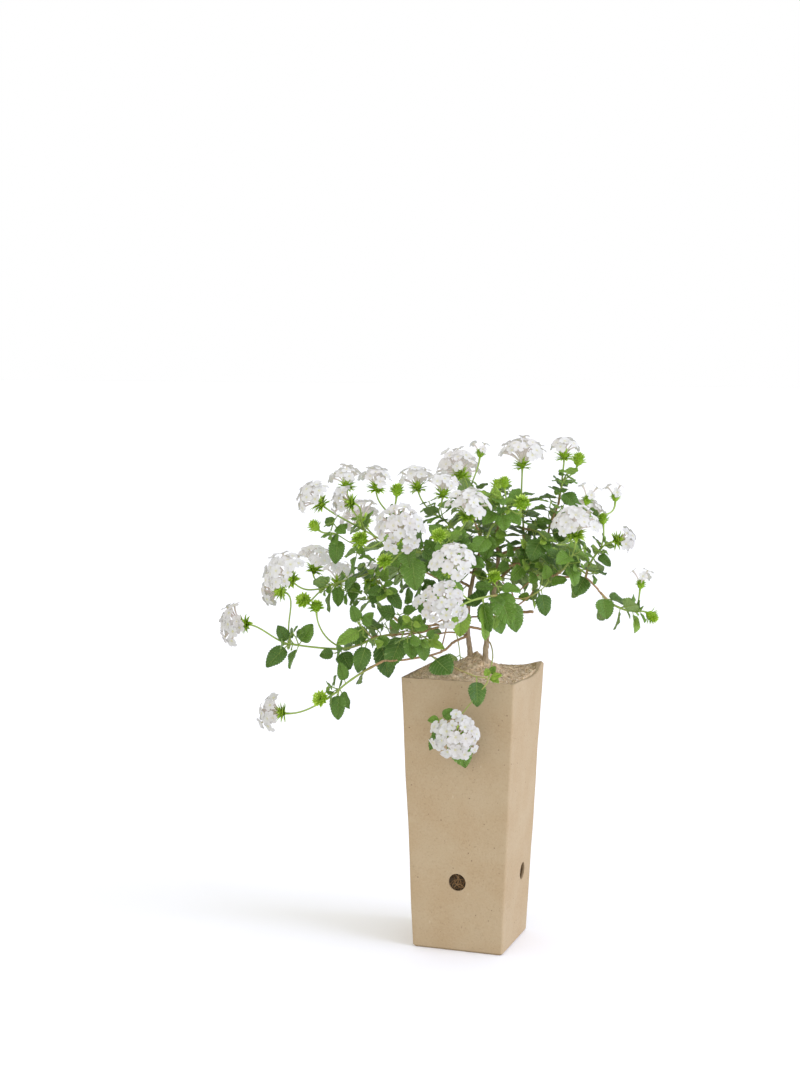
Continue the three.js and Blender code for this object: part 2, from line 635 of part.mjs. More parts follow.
function inPot(at, room) {
  const c = Math.cos(PLANT_TURN);
  const s = Math.sin(PLANT_TURN);
  const x = at[0] * c - at[1] * s;
  const y = at[0] * s + at[1] * c;
  const half = potHalf(Math.min(at[2], POT_HEIGHT)) + room + 1;
  if (Math.abs(x) > half || Math.abs(y) > half) return false;
  return at[2] < Math.max(POT_HEIGHT + 1, soilHeight(x, y)) + room + 1;
}

// One leaf of a pair at a shoot's node, bent clear of what is already there, or none if it can't be.
function growLeaf(shoot, share, quarter, long, owner, beads, roll) {
  const foot = pointOn(shoot, share);
  const course = courseOn(shoot, share);
  const level = unit(cross(course, [0, 0, 1]));
  const outward = unit(sub(foot, BUSH_CENTRE));
  const lean = roll(0.25, 0.65);
  const droop = roll(0.05, 0.55);
  const skew = roll(-0.3, 0.3);
  const length = long * roll(0.86, 1.1);
  const fold = roll(0.12, 0.4);
  const arch = roll(0.05, 0.24);
  const width = length * LEAF_WIDTH * roll(0.92, 1.06);
  for (const degrees of TRIES) {
    const angle = THREE.MathUtils.degToRad(quarter + degrees);
    const aside = turn(level, course, angle);
    const way = unit(add(add(aside, scale(course, lean)), [0, 0, -droop]));
    const light = add(add([0, 0, 0.8], scale(outward, 0.75)), scale(cross(way, [0, 0, 1]), skew));
    const normal = unit(square(light, way));
    const leaf = {
      foot,
      course: way,
      normal,
      side: cross(way, normal),
      long: length,
      stalk: length * PETIOLE,
      owner,
      fold,
      arch,
      width,
    };
    if (!crowded(leaf, beads)) return leaf;
  }
  return null;
}

// One leaf that is set by hand, and so isn't bent clear of anything.
function setLeaf(shoot, set, owner) {
  const course = unit(set.way);
  const normal = unit(square(set.light, course));
  const width = set.long * LEAF_WIDTH * (set.wide ?? 1);
  return {
    foot: pointOn(shoot, set.from),
    course,
    normal,
    side: cross(course, normal),
    long: set.long,
    stalk: set.long * PETIOLE,
    owner,
    fold: SET_FOLD,
    arch: SET_ARCH,
    width,
  };
}

// Lays out every leaf of the plant, those set by hand first, and lists them by spray.
function layLeaves() {
  const beads = [];
  for (const trunk of Object.values(TRUNKS))
    for (const stem of trunk) stringBeads(beads, through(stem.path), stem.r, "wood");
  for (const [name, spray] of Object.entries(SPRAYS)) {
    const curves = spray.shoots.map((shoot) => new Shoot(shoot.path));
    for (const curve of curves) stringBeads(beads, curve, [1, 0.8], name);
    for (const head of spray.heads) {
      const radius = head.reach ? head.reach : 5.5;
      const lift = head.reach ? 0.4 * radius : 3;
      stringBeads(beads, stalk(curves[head.on], head), [0.7, 0.7], name);
      beads.push({ at: add(head.at, scale(unit(head.face), lift)), r: 0.95 * radius, owner: "head" });
    }
  }
  const leaves = {};
  const place = (leaf, name) => {
    leaves[name].push(leaf);
    for (const bead of leafBeads(leaf)) beads.push({ ...bead, owner: name, stem: false });
  };
  for (const [name, spray] of Object.entries(SPRAYS)) {
    leaves[name] = [];
    for (const set of spray.leaves ?? []) {
      const shoot = new Shoot(spray.shoots[set.on].path);
      place(setLeaf(shoot, set, name), name);
    }
  }
  Object.entries(SPRAYS).forEach(([name, spray], index) => {
    const roll = dice(1009 + 97 * index);
    for (const shoot of spray.shoots) {
      const curve = new Shoot(shoot.path);
      for (let pair = 0; pair < shoot.pairs; pair++) {
        const share = (pair + 0.55) / (shoot.pairs - 0.2);
        const long = shoot.leaf * (1 - 0.28 * (pair / shoot.pairs) ** 2);
        const quarter = 90 * (pair % 2) + roll(-18, 18);
        for (const half of [0, 180]) {
          const leaf = growLeaf(curve, share, quarter + half, long, name, beads, roll);
          if (leaf) place(leaf, name);
        }
      }
    }
  });
  return leaves;
}

// Solids

// A closed mesh as a solid, with its shared vertices merged.
function solid(geometry) {
  const bare = geometry.index ? geometry.toNonIndexed() : geometry.clone();
  for (const name of Object.keys(bare.attributes)) if (name !== "position") bare.deleteAttribute(name);
  const merged = mergeVertices(bare, 1e-4);
  return new wasm.Manifold(
    new wasm.Mesh({
      numProp: 3,
      vertProperties: merged.attributes.position.array,
      triVerts: new Uint32Array(merged.index.array),
    }),
  );
}

// A solid from points and faces, each face a list of corners seen anticlockwise from outside.
function faceted(points, faces) {
  const flat = [];
  for (const face of faces)
    for (let k = 1; k + 1 < face.length; k++)
      for (const i of [face[0], face[k], face[k + 1]]) flat.push(...points[i]);
  const geometry = new THREE.BufferGeometry();
  geometry.setAttribute("position", new THREE.Float32BufferAttribute(flat, 3));
  return solid(geometry);
}

function meshOf(name, made, material) {
  const shape = made.asOriginal().simplify(FACET_TOLERANCE).getMesh();
  const geometry = new THREE.BufferGeometry();
  geometry.setAttribute("position", new THREE.BufferAttribute(shape.vertProperties, 3));
  geometry.setIndex(new THREE.BufferAttribute(shape.triVerts, 1));
  const mesh = new THREE.Mesh(geometry, material);
  mesh.name = name;
  return mesh;
}

const joined = (solids) => wasm.Manifold.union(solids);

// A solid lofted through rings of points set round one line, of any counts. A ring of one point is a tip.
function lofted(rings) {
  const starts = [];
  let total = 0;
  for (const ring of rings) {
    starts.push(total);
    total += ring.length;
  }
  const faces = [];
  for (let r = 0; r + 1 < rings.length; r++) {
    const [n, m] = [rings[r].length, rings[r + 1].length];
    let [i, j] = [0, 0];
    while (i < n || j < m) {
      const low = starts[r] + (i % n);
      const high = starts[r + 1] + (j % m);
      if (j >= m || (i < n && (i + 1) / n <= (j + 1) / m)) {
        i++;
        if (n > 1) faces.push([low, starts[r] + (i % n), high]);
      } else {
        j++;
        if (m > 1) faces.push([low, starts[r + 1] + (j % m), high]);
      }
    }
  }
  const last = rings.length - 1;
  if (rings[0].length > 2) faces.push(rings[0].map((_, k) => k).reverse());
  if (rings[last].length > 2) faces.push(rings[last].map((_, k) => starts[last] + k));
  return faceted(rings.flat(), faces);
}

// The rings of a tapered stem, square to its curve, and the direction across the last of them.
function stemRings(curve, steps, radii, sides, swell = 0) {
  const start = courseOn(curve, 0);
  let across = unit(square(Math.abs(start[2]) < 0.8 ? [0, 0, 1] : [1, 0, 0], start));
  const rings = [];
  for (let ring = 0; ring <= steps; ring++) {
    const share = ring / steps;
    const course = courseOn(curve, share);
    across = unit(square(across, course));
    const frame = { axis: course, across, other: cross(course, across) };
    const radius = radii[0] + (radii[1] - radii[0]) * share + swell;
    const shift = ring === 0 ? -swell : ring === steps ? swell : 0;
    rings.push(circle(frame, pointOn(curve, share), sides, () => [radius, shift]));
  }
  return { rings, across };
}

// The blade's outline on one side, as shares of length and half width: teeth with notches between them.
const TEETH = [
  [0.14, 0.8],
  [0.34, 1],
  [0.45, 0.84],
  [0.62, 0.84],
  [0.8, 0.44],
];
const RIDGE = 0.44;

// A leaf: a three-sided stalk sunk in the stem, and a toothed blade arched and folded on its midrib.
function leafSolid(leaf) {
  const lift = (p, by) => add(p, scale(leaf.normal, by));
  const base = leafPoint(leaf, 0, 0);
  const ridge = leafPoint(leaf, RIDGE, 0);
  const points = [
    leaf.foot,
    add(base, scale(leaf.side, -PETIOLE_HALF)),
    add(base, scale(leaf.side, PETIOLE_HALF)),
    lift(base, -LEAF_THICK),
    lift(ridge, LEAF_THICK / 2),
    lift(ridge, -LEAF_THICK / 2),
    leafPoint(leaf, 1, 0),
  ];
  const [foot, baseL, baseR, baseB, top, low, tip] = points.keys();
  for (const sign of [-1, 1])
    for (const [along, aside] of TEETH) points.push(leafPoint(leaf, along, sign * aside));
  const faces = [
    [foot, baseR, baseL],
    [foot, baseB, baseR],
    [foot, baseL, baseB],
    [baseL, baseR, top],
    [baseR, baseB, low],
    [baseB, baseL, low],
  ];
  const count = TEETH.length;
  for (const right of [false, true]) {
    const first = points.length - (right ? 1 : 2) * count;
    const rim = [right ? baseR : baseL, ...Array(count).keys().map((k) => first + k), tip];
    for (let k = 0; k + 1 < rim.length; k++) {
      const ahead = right ? [rim[k], rim[k + 1]] : [rim[k + 1], rim[k]];
      faces.push([...ahead, top], [ahead[1], ahead[0], low]);
    }
  }
  return faceted(points, faces);
}

// Two directions square to a facing, to set what stands round it.
function ringFrame(face, toward = Math.abs(unit(face)[2]) < 0.9 ? [0, 0, 1] : [1, 0, 0]) {
  const axis = unit(face);
  const across = unit(square(toward, axis));
  return { axis, across, other: cross(axis, across) };
}

const around = (frame, at, radius, angle, height) =>
  add(
    add(at, scale(frame.axis, height)),
    add(scale(frame.across, radius * Math.cos(angle)), scale(frame.other, radius * Math.sin(angle))),
  );

// A ring of points round a place; each has its own radius and height.
const circle = (frame, at, count, shape) =>
  [...Array(count).keys()].map((k) => {
    const [radius, height] = shape(k);
    return around(frame, at, radius, (2 * Math.PI * k) / count, height);
  });

// A head's stalk with what it ends in: a star of pointed bracts under an open head, or a closed bud.
function stalkSolid(shoot, head) {
  const curve = stalk(shoot, head);
  const { rings, across } = stemRings(curve, STALK_STEPS, [STALK_RADIUS, STALK_RADIUS], STALK_SIDES);
  rings[STALK_STEPS] = rings[STALK_STEPS].map((p) => sub(p, scale(unit(head.face), 1.2)));
  const frame = ringFrame(head.face, across);
  const tips = 2 * BRACTS;
  if (head.reach) {
    rings.push(circle(frame, head.at, tips, (k) => (k % 2 ? [2.4, 0.1] : [5.4, 1.2])));
    rings.push([around(frame, head.at, 0, 0, 0.9)]);
  } else {
    rings.push(circle(frame, head.at, BRACTS, () => [5, 2.2]));
    rings.push(circle(frame, head.at, tips, (k) => (k % 2 ? [3.2, 4.6] : [5.2, 7.6])));
    rings.push([around(frame, head.at, 0, 0, 5.6)]);
  }
  return lofted(rings);
}

// The places of a head's florets over its dome, spread evenly by the golden angle.
function floretPlaces(count, widest) {
  const golden = Math.PI * (3 - Math.sqrt(5));
  return [...Array(count).keys()].map((k) => {
    const polar = Math.acos(1 - ((k + 0.5) / count) * (1 - Math.cos(widest)));
    return { polar, angle: k * golden };
  });
}

// The direction of each floret of a head.
function floretWays(frame, count) {
  return floretPlaces(count, HEAD_SPREAD).map((place) =>
    around(frame, [0, 0, 0], Math.sin(place.polar), place.angle, Math.cos(place.polar)),
  );
}

// A sparse head: a few florets on a small knob, each a tube that opens into a cornered limb.
function sparseHead(head) {
  const frame = ringFrame(head.face);
  const middle = around(frame, head.at, 0, 0, CORE_LIFT);
  const knob = lofted([
    [around(frame, middle, 0, 0, UNDER_CUP)],
    circle(frame, middle, FLORET_LOBES, () => [2, 0]),
    [around(frame, middle, 0, 0, 2)],
  ]);
  const florets = floretWays(frame, head.few).map((way) => {
    const own = ringFrame(way);
    return lofted([
      [middle],
      circle(own, middle, FLORET_LOBES, () => [FEW_LIMB, head.reach]),
      [around(own, middle, 0, 0, head.reach - 1.2)],
    ]);
  });
  return joined([knob, ...florets]);
}

// A full head: one body that stands out at every floret's limb, and is sunk at its throat, in the gaps
// between limbs and in a narrow foot over the cup.
function fullHead(head) {
  const frame = ringFrame(head.face);
  const middle = around(frame, head.at, 0, 0, CORE_LIFT);
  const count = Math.min(HEAD_FLORETS, Math.round(FLORETS_PER_MM * head.reach));
  const ways = floretWays(frame, count);
  const limb = LIMB_FILL / Math.sqrt(count);
  const edge = () => [Math.sin(limb), Math.cos(limb)];
  const rim = (way) => circle(ringFrame(way), [0, 0, 0], FLORET_LOBES, edge);
  const foot = [...circle(frame, [0, 0, 0], 5, () => [0.9, -0.42]), scale(frame.axis, -1)];
  const wrap = (list) => new ConvexGeometry(list.map((way) => new THREE.Vector3(...way)));
  const cells = wrap([...ways, ...foot]).attributes.position.array;
  const gaps = [];
  for (let i = 0; i < cells.length; i += 9) {
    const way = unit([0, 1, 2].map((k) => cells[i + k] + cells[i + 3 + k] + cells[i + 6 + k]));
    if (dot(way, frame.axis) > -0.3) gaps.push(way);
  }
  const distance = (way) => {
    const height = dot(way, frame.axis);
    if (height < -0.9) return -UNDER_CUP;
    if (height < -0.35) return FOOT_RADIUS;
    const apart = Math.min(...ways.map((floret) => Math.acos(Math.min(1, dot(floret, way)))));
    if (apart < 0.5 * limb) return head.reach - THROAT;
    return apart < 1.02 * limb ? head.reach : GAP_SHARE * head.reach;
  };
  const skin = wrap([...ways, ...ways.flatMap(rim), ...gaps, ...foot]);
  const spots = skin.attributes.position;
  for (let i = 0; i < spots.count; i++) {
    const way = unit([spots.getX(i), spots.getY(i), spots.getZ(i)]);
    spots.setXYZ(i, ...add(middle, scale(way, distance(way))));
  }
  return solid(skin);
}

// The wood of one trunk with its branches, and the same swollen by the gap that other pieces keep to it.
function woodSolid(trunk, swell = 0) {
  return joined(
    trunk.map((branch) => {
      const curve = through(branch.path);
      return lofted(stemRings(curve, branch.path.length - 1, branch.r, WOOD_SIDES, swell).rings);
    }),
  );
}

// One spray: its shoots, leaves, stalks, cups and buds, cut clear of the wood that carries it.
function spraySolid(spray, leaves, woodRoom) {
  const curves = spray.shoots.map((shoot) => new Shoot(shoot.path));
  const solids = curves.map((curve) => lofted(stemRings(curve, curve.steps, [1.1, 0.8], SHOOT_SIDES).rings));
  for (const head of spray.heads) solids.push(stalkSolid(curves[head.on], head));
  for (const leaf of leaves) solids.push(leafSolid(leaf));
  const pieces = joined(solids).subtract(woodRoom).decompose();
  return pieces.sort((a, b) => b.volume() - a.volume())[0];
}

// The outline of the pot at a half width, anticlockwise from above, with rounded corners.
function potOutline(half, corner) {
  const points = [];
  const inner = half - corner;
  const centres = [[1, 1], [-1, 1], [-1, -1], [1, -1]];
  centres.forEach(([sx, sy], side) => {
    for (let k = 0; k <= CORNER_STEPS; k++) {
      const angle = (Math.PI / 2) * (side + k / CORNER_STEPS);
      points.push([sx * inner + corner * Math.cos(angle), sy * inner + corner * Math.sin(angle)]);
    }
    if (side === 3) for (const share of [0.45, 0.8]) points.push([half, (2 * share - 1) * inner]);
  });
  return points;
}

// The rim's height: level, but for a dip along the right wall and an ear at the corner behind it.
function rimHeight(x, y) {
  const ear = RIM_EAR * Math.exp(-((x - POT_TOP / 2) ** 2 + (y - POT_TOP / 2) ** 2) / 13 ** 2);
  const onRight = Math.max(0, (x - 0.3 * POT_TOP) / (0.2 * POT_TOP));
  const dip = RIM_DIP * onRight * Math.exp(-((y - 8) ** 2) / 26 ** 2);
  return POT_HEIGHT + ear - dip;
}

const levelRing = (half, corner, z) => potOutline(half, corner).map(([x, y]) => [x, y, z]);

function potSolid() {
  const rimRing = (inset, corner) =>
    potOutline(potHalf(POT_HEIGHT), POT_CORNER).map(([x, y], k) => {
      const z = rimHeight(x, y);
      return [...potOutline(potHalf(z) - inset, corner)[k], z];
    });
  let pot = lofted([
    levelRing(POT_BASE / 2 - BASE_BEVEL, POT_CORNER - 1, 0),
    levelRing(potHalf(BASE_BEVEL), POT_CORNER, BASE_BEVEL),
    rimRing(0, POT_CORNER),
    rimRing(POT_WALL, POT_CORNER - 1),
    levelRing(potHalf(POT_FLOOR) - POT_WALL, POT_CORNER - 1, POT_FLOOR),
  ]);
  HOLE_SHIFTS.forEach((shift, side) => {
    const punch = new THREE.CylinderGeometry(HOLE_RADIUS, HOLE_RADIUS, 16, HOLE_SIDES);
    punch.translate(shift, potHalf(HOLE_HEIGHT), HOLE_HEIGHT);
    pot = pot.subtract(solid(punch).rotate([0, 0, 90 * side]));
  });
  return pot;
}

// The root ball: a block with the soil's surface on top, cut to the pot's inside less the gap.
function soilSolid() {
  const block = new THREE.BoxGeometry(POT_TOP, POT_TOP, SOIL_LEVEL, SOIL_CELLS, SOIL_CELLS, 1);
  const spots = block.attributes.position;
  for (let i = 0; i < spots.count; i++)
    if (spots.getZ(i) > 0) spots.setZ(i, soilHeight(spots.getX(i), spots.getY(i)));
    else spots.setZ(i, 0);
  const above = POT_HEIGHT + 40;
  const room = POT_WALL + SEAT_GAP;
  const inside = lofted([
    levelRing(potHalf(POT_FLOOR) - room, POT_CORNER - 1, POT_FLOOR + SEAT_GAP),
    levelRing(potHalf(above) - room, POT_CORNER - 1, above),
  ]);
  return solid(block).intersect(inside);
}

const card = new THREE.MeshStandardMaterial({ name: "pressed_fibre", color: 0xbca57f, roughness: 0.9 });
const earth = new THREE.MeshStandardMaterial({ name: "rooted_compost", color: 0x8a6a48, roughness: 1 });
const bark = new THREE.MeshStandardMaterial({ name: "bark", color: 0x8d7350, roughness: 0.9 });
const green = new THREE.MeshStandardMaterial({ name: "leaf_green", color: 0x5c8a2e, roughness: 0.6 });
const white = new THREE.MeshStandardMaterial({ name: "white_petals", color: 0xf5f5f0, roughness: 0.6 });

// The bush stands turned in its pot. Its stems pass through plain holes in the root ball.
const plant = new THREE.Group();
const bush = new THREE.Group();
bush.rotation.z = PLANT_TURN;
plant.add(bush);
const woodRoom = joined(Object.values(TRUNKS).map((trunk) => woodSolid(trunk, STEM_ROOM)));
const turnedRoom = woodRoom.rotate([0, 0, THREE.MathUtils.radToDeg(PLANT_TURN)]);

plant.add(meshOf("pot", potSolid(), card));
plant.add(meshOf("root_ball", soilSolid().subtract(turnedRoom), earth));
for (const [name, trunk] of Object.entries(TRUNKS))
  bush.add(meshOf(`woody_stem_${name}`, woodSolid(trunk), bark));
const leaves = layLeaves();
for (const [name, spray] of Object.entries(SPRAYS)) {
  bush.add(meshOf(`leafy_spray_${name}`, spraySolid(spray, leaves[name], woodRoom), green));
  const open = spray.heads.filter((head) => head.reach);
  open.forEach((head, k) => {
    const ending = open.length > 1 ? `_${k + 1}` : "";
    bush.add(meshOf(`flower_head_${name}${ending}`, head.few ? sparseHead(head) : fullHead(head), white));
  });
}

export default plant;
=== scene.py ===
"""A trailing lantana with white flower heads in a tall square pot of pressed fibre.

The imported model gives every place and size. Each of its plain solids is dressed with a finer piece of the
same form: toothed and veined leaves, florets and bracts, bark, fibrous compost and the card of the pot.
Lengths are millimetres in the plan, and metres once a piece is made.
"""

import logging
import math
from dataclasses import dataclass, field
from enum import Enum
from typing import Callable, ClassVar

import bpy
import numpy as np
from mathutils import Matrix, Vector, noise
from mathutils.kdtree import KDTree


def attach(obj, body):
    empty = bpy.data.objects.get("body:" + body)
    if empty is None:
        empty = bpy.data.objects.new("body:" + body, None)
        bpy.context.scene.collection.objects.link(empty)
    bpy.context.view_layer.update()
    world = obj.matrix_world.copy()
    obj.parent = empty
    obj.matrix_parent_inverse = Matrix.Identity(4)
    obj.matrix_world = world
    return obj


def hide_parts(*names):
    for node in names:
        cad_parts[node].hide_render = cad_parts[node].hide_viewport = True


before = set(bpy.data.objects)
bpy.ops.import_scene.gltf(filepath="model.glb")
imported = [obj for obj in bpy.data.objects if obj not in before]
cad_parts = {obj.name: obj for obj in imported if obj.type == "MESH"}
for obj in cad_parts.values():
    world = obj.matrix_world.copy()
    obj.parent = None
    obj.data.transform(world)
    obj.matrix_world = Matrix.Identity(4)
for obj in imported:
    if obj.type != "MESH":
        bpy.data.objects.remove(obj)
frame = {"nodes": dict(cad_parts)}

log = logging.getLogger("lantana")

Array = np.ndarray
Colour = tuple[float, float, float]
Place = tuple[float, float, float]
Frame = tuple[Array, Array, Array]

MM = 0.001
# The three values that each point of a piece carries for its finish
GRAIN = "grain"

# The pot's own sizes, as its solid has them
POT_HEIGHT = 217
POT_TOP = 92
POT_BASE = 74
POT_WALL = 2.4
POT_FLOOR = 4
POT_CORNER = 3.5
SEAT_GAP = 0.3
SOIL_LEVEL = 215.2
SOIL_BANK = 3.5

# The plant stands turned in its pot, and its leaves look away from its middle.
PLANT_TURN = math.radians(18.4)
BUSH_CENTRE = (0, 0, 290)
# A leaf's greatest width and its stalk, as shares of the length of its blade
LEAF_WIDTH = 0.82
PETIOLE = 0.22
# A head's dome: how far its middle stands above its foot, and how far its florets reach down it
CORE_LIFT = 4.6
HEAD_SPREAD = 1.15


class Finish(Enum):
    """The finishes of the pieces, in the order in which a mesh lists them."""

    CARD = 0
    COIR = 1
    ROOT = 2
    BARK = 3
    STEM = 4
    LEAF_UPPER = 5
    LEAF_UNDER = 6
    BRACT = 7
    PETAL = 8


def vec(place: Place | Array) -> Array:
    """The place as an array of three numbers."""
    return np.array(place, float)


def unit(a: Array) -> Array:
    """The direction of a vector, one long."""
    return a / math.sqrt(a @ a)


def square(a: Array, axis: Array) -> Array:
    """What is left of a vector across a unit axis."""
    return a - axis * (a @ axis)


def cross(a: Array, b: Array) -> Array:
    """The cross product of two vectors of three numbers."""
    return np.array((a[1] * b[2] - a[2] * b[1], a[2] * b[0] - a[0] * b[2], a[0] * b[1] - a[1] * b[0]))


def turned(a: Array, axis: Array, angle: float) -> Array:
    """Turns a vector about a unit axis.

    Args:
        a: The vector.
        axis: The unit axis.
        angle: The angle in radians.

    Returns:
        The turned vector.
    """
    c, s = math.cos(angle), math.sin(angle)
    return a * c + cross(axis, a) * s + axis * ((a @ axis) * (1 - c))


def ring_frame(face: Array) -> Frame:
    """The unit facing and two directions square to it, to set what stands round it.

    Args:
        face: The facing, of any length.

    Returns:
        The unit facing, and the two directions.
    """
    axis = unit(face)
    toward = (0, 0, 1) if abs(axis[2]) < 0.9 else (1, 0, 0)
    across = unit(square(vec(toward), axis))
    return axis, across, cross(axis, across)


def spoke(frame: Frame, angle: float) -> Array:
    """The direction straight out from a facing, at an angle round it."""
    return math.cos(angle) * frame[1] + math.sin(angle) * frame[2]


def smooth(low: float, high: float, x: Array | float) -> Array | float:
    """A soft step from 0 at low to 1 at high."""
    t = np.clip((x - low) / (high - low), 0, 1)
    return t * t * (3 - 2 * t)


class Dice:
    """A seeded random draw between two numbers."""

    factor: int = 48271
    modulus: int = 2147483647

    def __init__(self, seed: int) -> None:
        """Starts the draws from a seed."""
        self.state = seed

    def __call__(self, low: float, high: float) -> float:
        """The next draw between low and high."""
        self.state = (self.state * self.factor) % self.modulus
        return low + ((high - low) * self.state) / self.modulus


class Seed(Enum):
    """Where each kind of random draw starts, and its step from one piece to the next."""

    LEAF_PAIRS = (1009, 97)
    SHADES = (503, 1)
    SPRAY_TWIGS = (4001, 61)
    WOOD_TWIGS = (7001, 89)
    FIBRES = (53, 0)
    ROOTS = (97, 0)
    BARK = (131, 1)
    SPRAYS = (307, 29)
    TWIG_LEAVES = (919, 1)
    FLORETS = (211, 17)

    def dice(self, index: int = 0) -> Dice:
        """The draws for one piece of the kind."""
        start, step = self.value
        return Dice(start + step * index)


# Shader maths


def paint(red: int, green: int, blue: int) -> Colour:
    """A colour read in the photograph's own 0 to 255, as the linear colour that a shader takes."""
    shares = (c / 255 for c in (red, green, blue))
    return tuple(s / 12.92 if s <= 0.04045 else ((s + 0.055) / 1.055) ** 2.4 for s in shares)


def operator(operation: str, swapped: bool = False) -> Callable[..., "Wire"]:
    """An operator of the sockets that adds one Math node.

    Args:
        operation: What the node does.
        swapped: Whether the other value comes first.

    Returns:
        The operator.
    """

    def operate(own: "Wire", other: "Wire | float" = 0.0) -> "Wire":
        """This value and another, in one Math node."""
        first, second = (other, own) if swapped else (own, other)
        return own.shader.node("ShaderNodeMath", {"operation": operation}, {0: first, 1: second})

    return operate


class Wire:
    """A socket of a material's nodes. Sums on it add the Math nodes that they need."""

    __add__ = __radd__ = operator("ADD")
    __sub__ = operator("SUBTRACT")
    __rsub__ = operator("SUBTRACT", swapped=True)
    __mul__ = __rmul__ = operator("MULTIPLY")
    __pow__ = operator("POWER")
    __abs__ = operator("ABSOLUTE")
    fraction = operator("FRACT")

    def __init__(self, shader: "Shader", socket: bpy.types.NodeSocket) -> None:
        """Wraps one output socket of a shader."""
        self.shader = shader
        self.socket = socket

    def step(self, low: float, high: float) -> "Wire":
        """A soft step of this value, from 0 at low to 1 at high."""
        settings = {"interpolation_type": "SMOOTHSTEP", "clamp": True}
        return self.shader.node("ShaderNodeMapRange", settings, {0: self, 1: low, 2: high})

    def output(self, name: str | int) -> "Wire":
        """Another output of the node that this value comes from."""
        return Wire(self.shader, self.socket.node.outputs[name])


class Shader:
    """The nodes of one material, round one Principled surface."""

    def __init__(self, name: str) -> None:
        """Makes the material with nothing but its output.

        Args:
            name: The material's name.
        """
        self.material = bpy.data.materials.new(name)
        self.material.use_nodes = True
        self.tree = self.material.node_tree
        self.tree.nodes.clear()

    def node(
        self, kind: str, settings: dict | None = None, sockets: dict | None = None, out: str | int = 0
    ) -> Wire | None:
        """Adds one node.

        Args:
            kind: The node's type.
            settings: Its settings, which are set first; "stops" are a ramp's places and colours.
            sockets: The values or links of its inputs, by name or number.
            out: The output that is returned.

        Returns:
            The output as a wire, or None for a node that has none.
        """
        made = self.tree.nodes.new(kind)
        for name, value in (settings or {}).items():
            if name == "stops":
                ramp = made.color_ramp.elements
                for index, (place, colour) in enumerate(value):
                    stop = ramp[index] if index < 2 else ramp.new(place)
                    stop.position, stop.color = place, (*colour, 1)
            else:
                setattr(made, name, value)
        for name, value in (sockets or {}).items():
            socket = made.inputs[name]
            if isinstance(value, Wire):
                self.tree.links.new(value.socket, socket)
            elif socket.type == "RGBA":
                socket.default_value = (*value, 1)
            else:
                socket.default_value = value
        return Wire(self, made.outputs[out]) if made.outputs else None

    def grain(self) -> tuple[Wire, Wire, Wire]:
        """The three values that each point of a piece carries for its finish.

        Returns:
            The three values, in their order.
        """
        carried = self.node("ShaderNodeAttribute", {"attribute_name": GRAIN}, out="Vector")
        first = self.node("ShaderNodeSeparateXYZ", None, {0: carried})
        return first, first.output(1), first.output(2)

    def place(self, stretch: Place = (1, 1, 1)) -> Wire:
        """The place on the piece in metres, stretched along its axes.

        Args:
            stretch: How many times as far each axis counts.

        Returns:
            The place.
        """
        spot = self.node("ShaderNodeTexCoord", out="Object")
        if stretch == (1, 1, 1):
            return spot
        return self.node("ShaderNodeVectorMath", {"operation": "MULTIPLY"}, {0: spot, 1: stretch})

    def noise(self, scale: float, detail: float = 3, stretch: Place = (1, 1, 1), rough: float = 0.55) -> Wire:
        """Soft noise with so many waves to the metre."""
        sockets = {"Vector": self.place(stretch), "Scale": scale, "Detail": detail, "Roughness": rough}
        return self.node("ShaderNodeTexNoise", None, sockets)

    def cells(self, scale: float, stretch: Place = (1, 1, 1)) -> Wire:
        """The distance to the middle of the nearest of many small cells."""
        return self.node("ShaderNodeTexVoronoi", None, {"Vector": self.place(stretch), "Scale": scale})

    def mix(self, share: Wire | float, first: Wire | Colour, second: Wire | Colour) -> Wire:
        """Mixes two colours."""
        return self.node("ShaderNodeMix", {"data_type": "RGBA"}, {0: share, 6: first, 7: second}, out=2)

    def surface(
        self,
        colour: Wire | Colour,
        roughness: float,
        height: Wire | None = None,
        depth: float = 0,
        specular: float = 0.1,
        plain: dict | None = None,
    ) -> bpy.types.Material:
        """Finishes the material.

        Args:
            colour: The base colour.
            roughness: The roughness.
            height: The relief, 0 to 1, that a bump lays over the surface.
            depth: The depth of that relief in millimetres.
            specular: The level of its plain gloss.
            plain: Other sockets of the surface.

        Returns:
            The material.
        """
        sockets = {"Base Color": colour, "Roughness": roughness, "Specular IOR Level": specular}
        sockets |= plain or {}
        if height is not None:
            sockets["Normal"] = self.node("ShaderNodeBump", None, {"Height": height, "Distance": depth * MM})
        skin = self.node("ShaderNodeBsdfPrincipled", None, sockets)
        self.node("ShaderNodeOutputMaterial", None, {"Surface": skin})
        return self.material


# Finishes


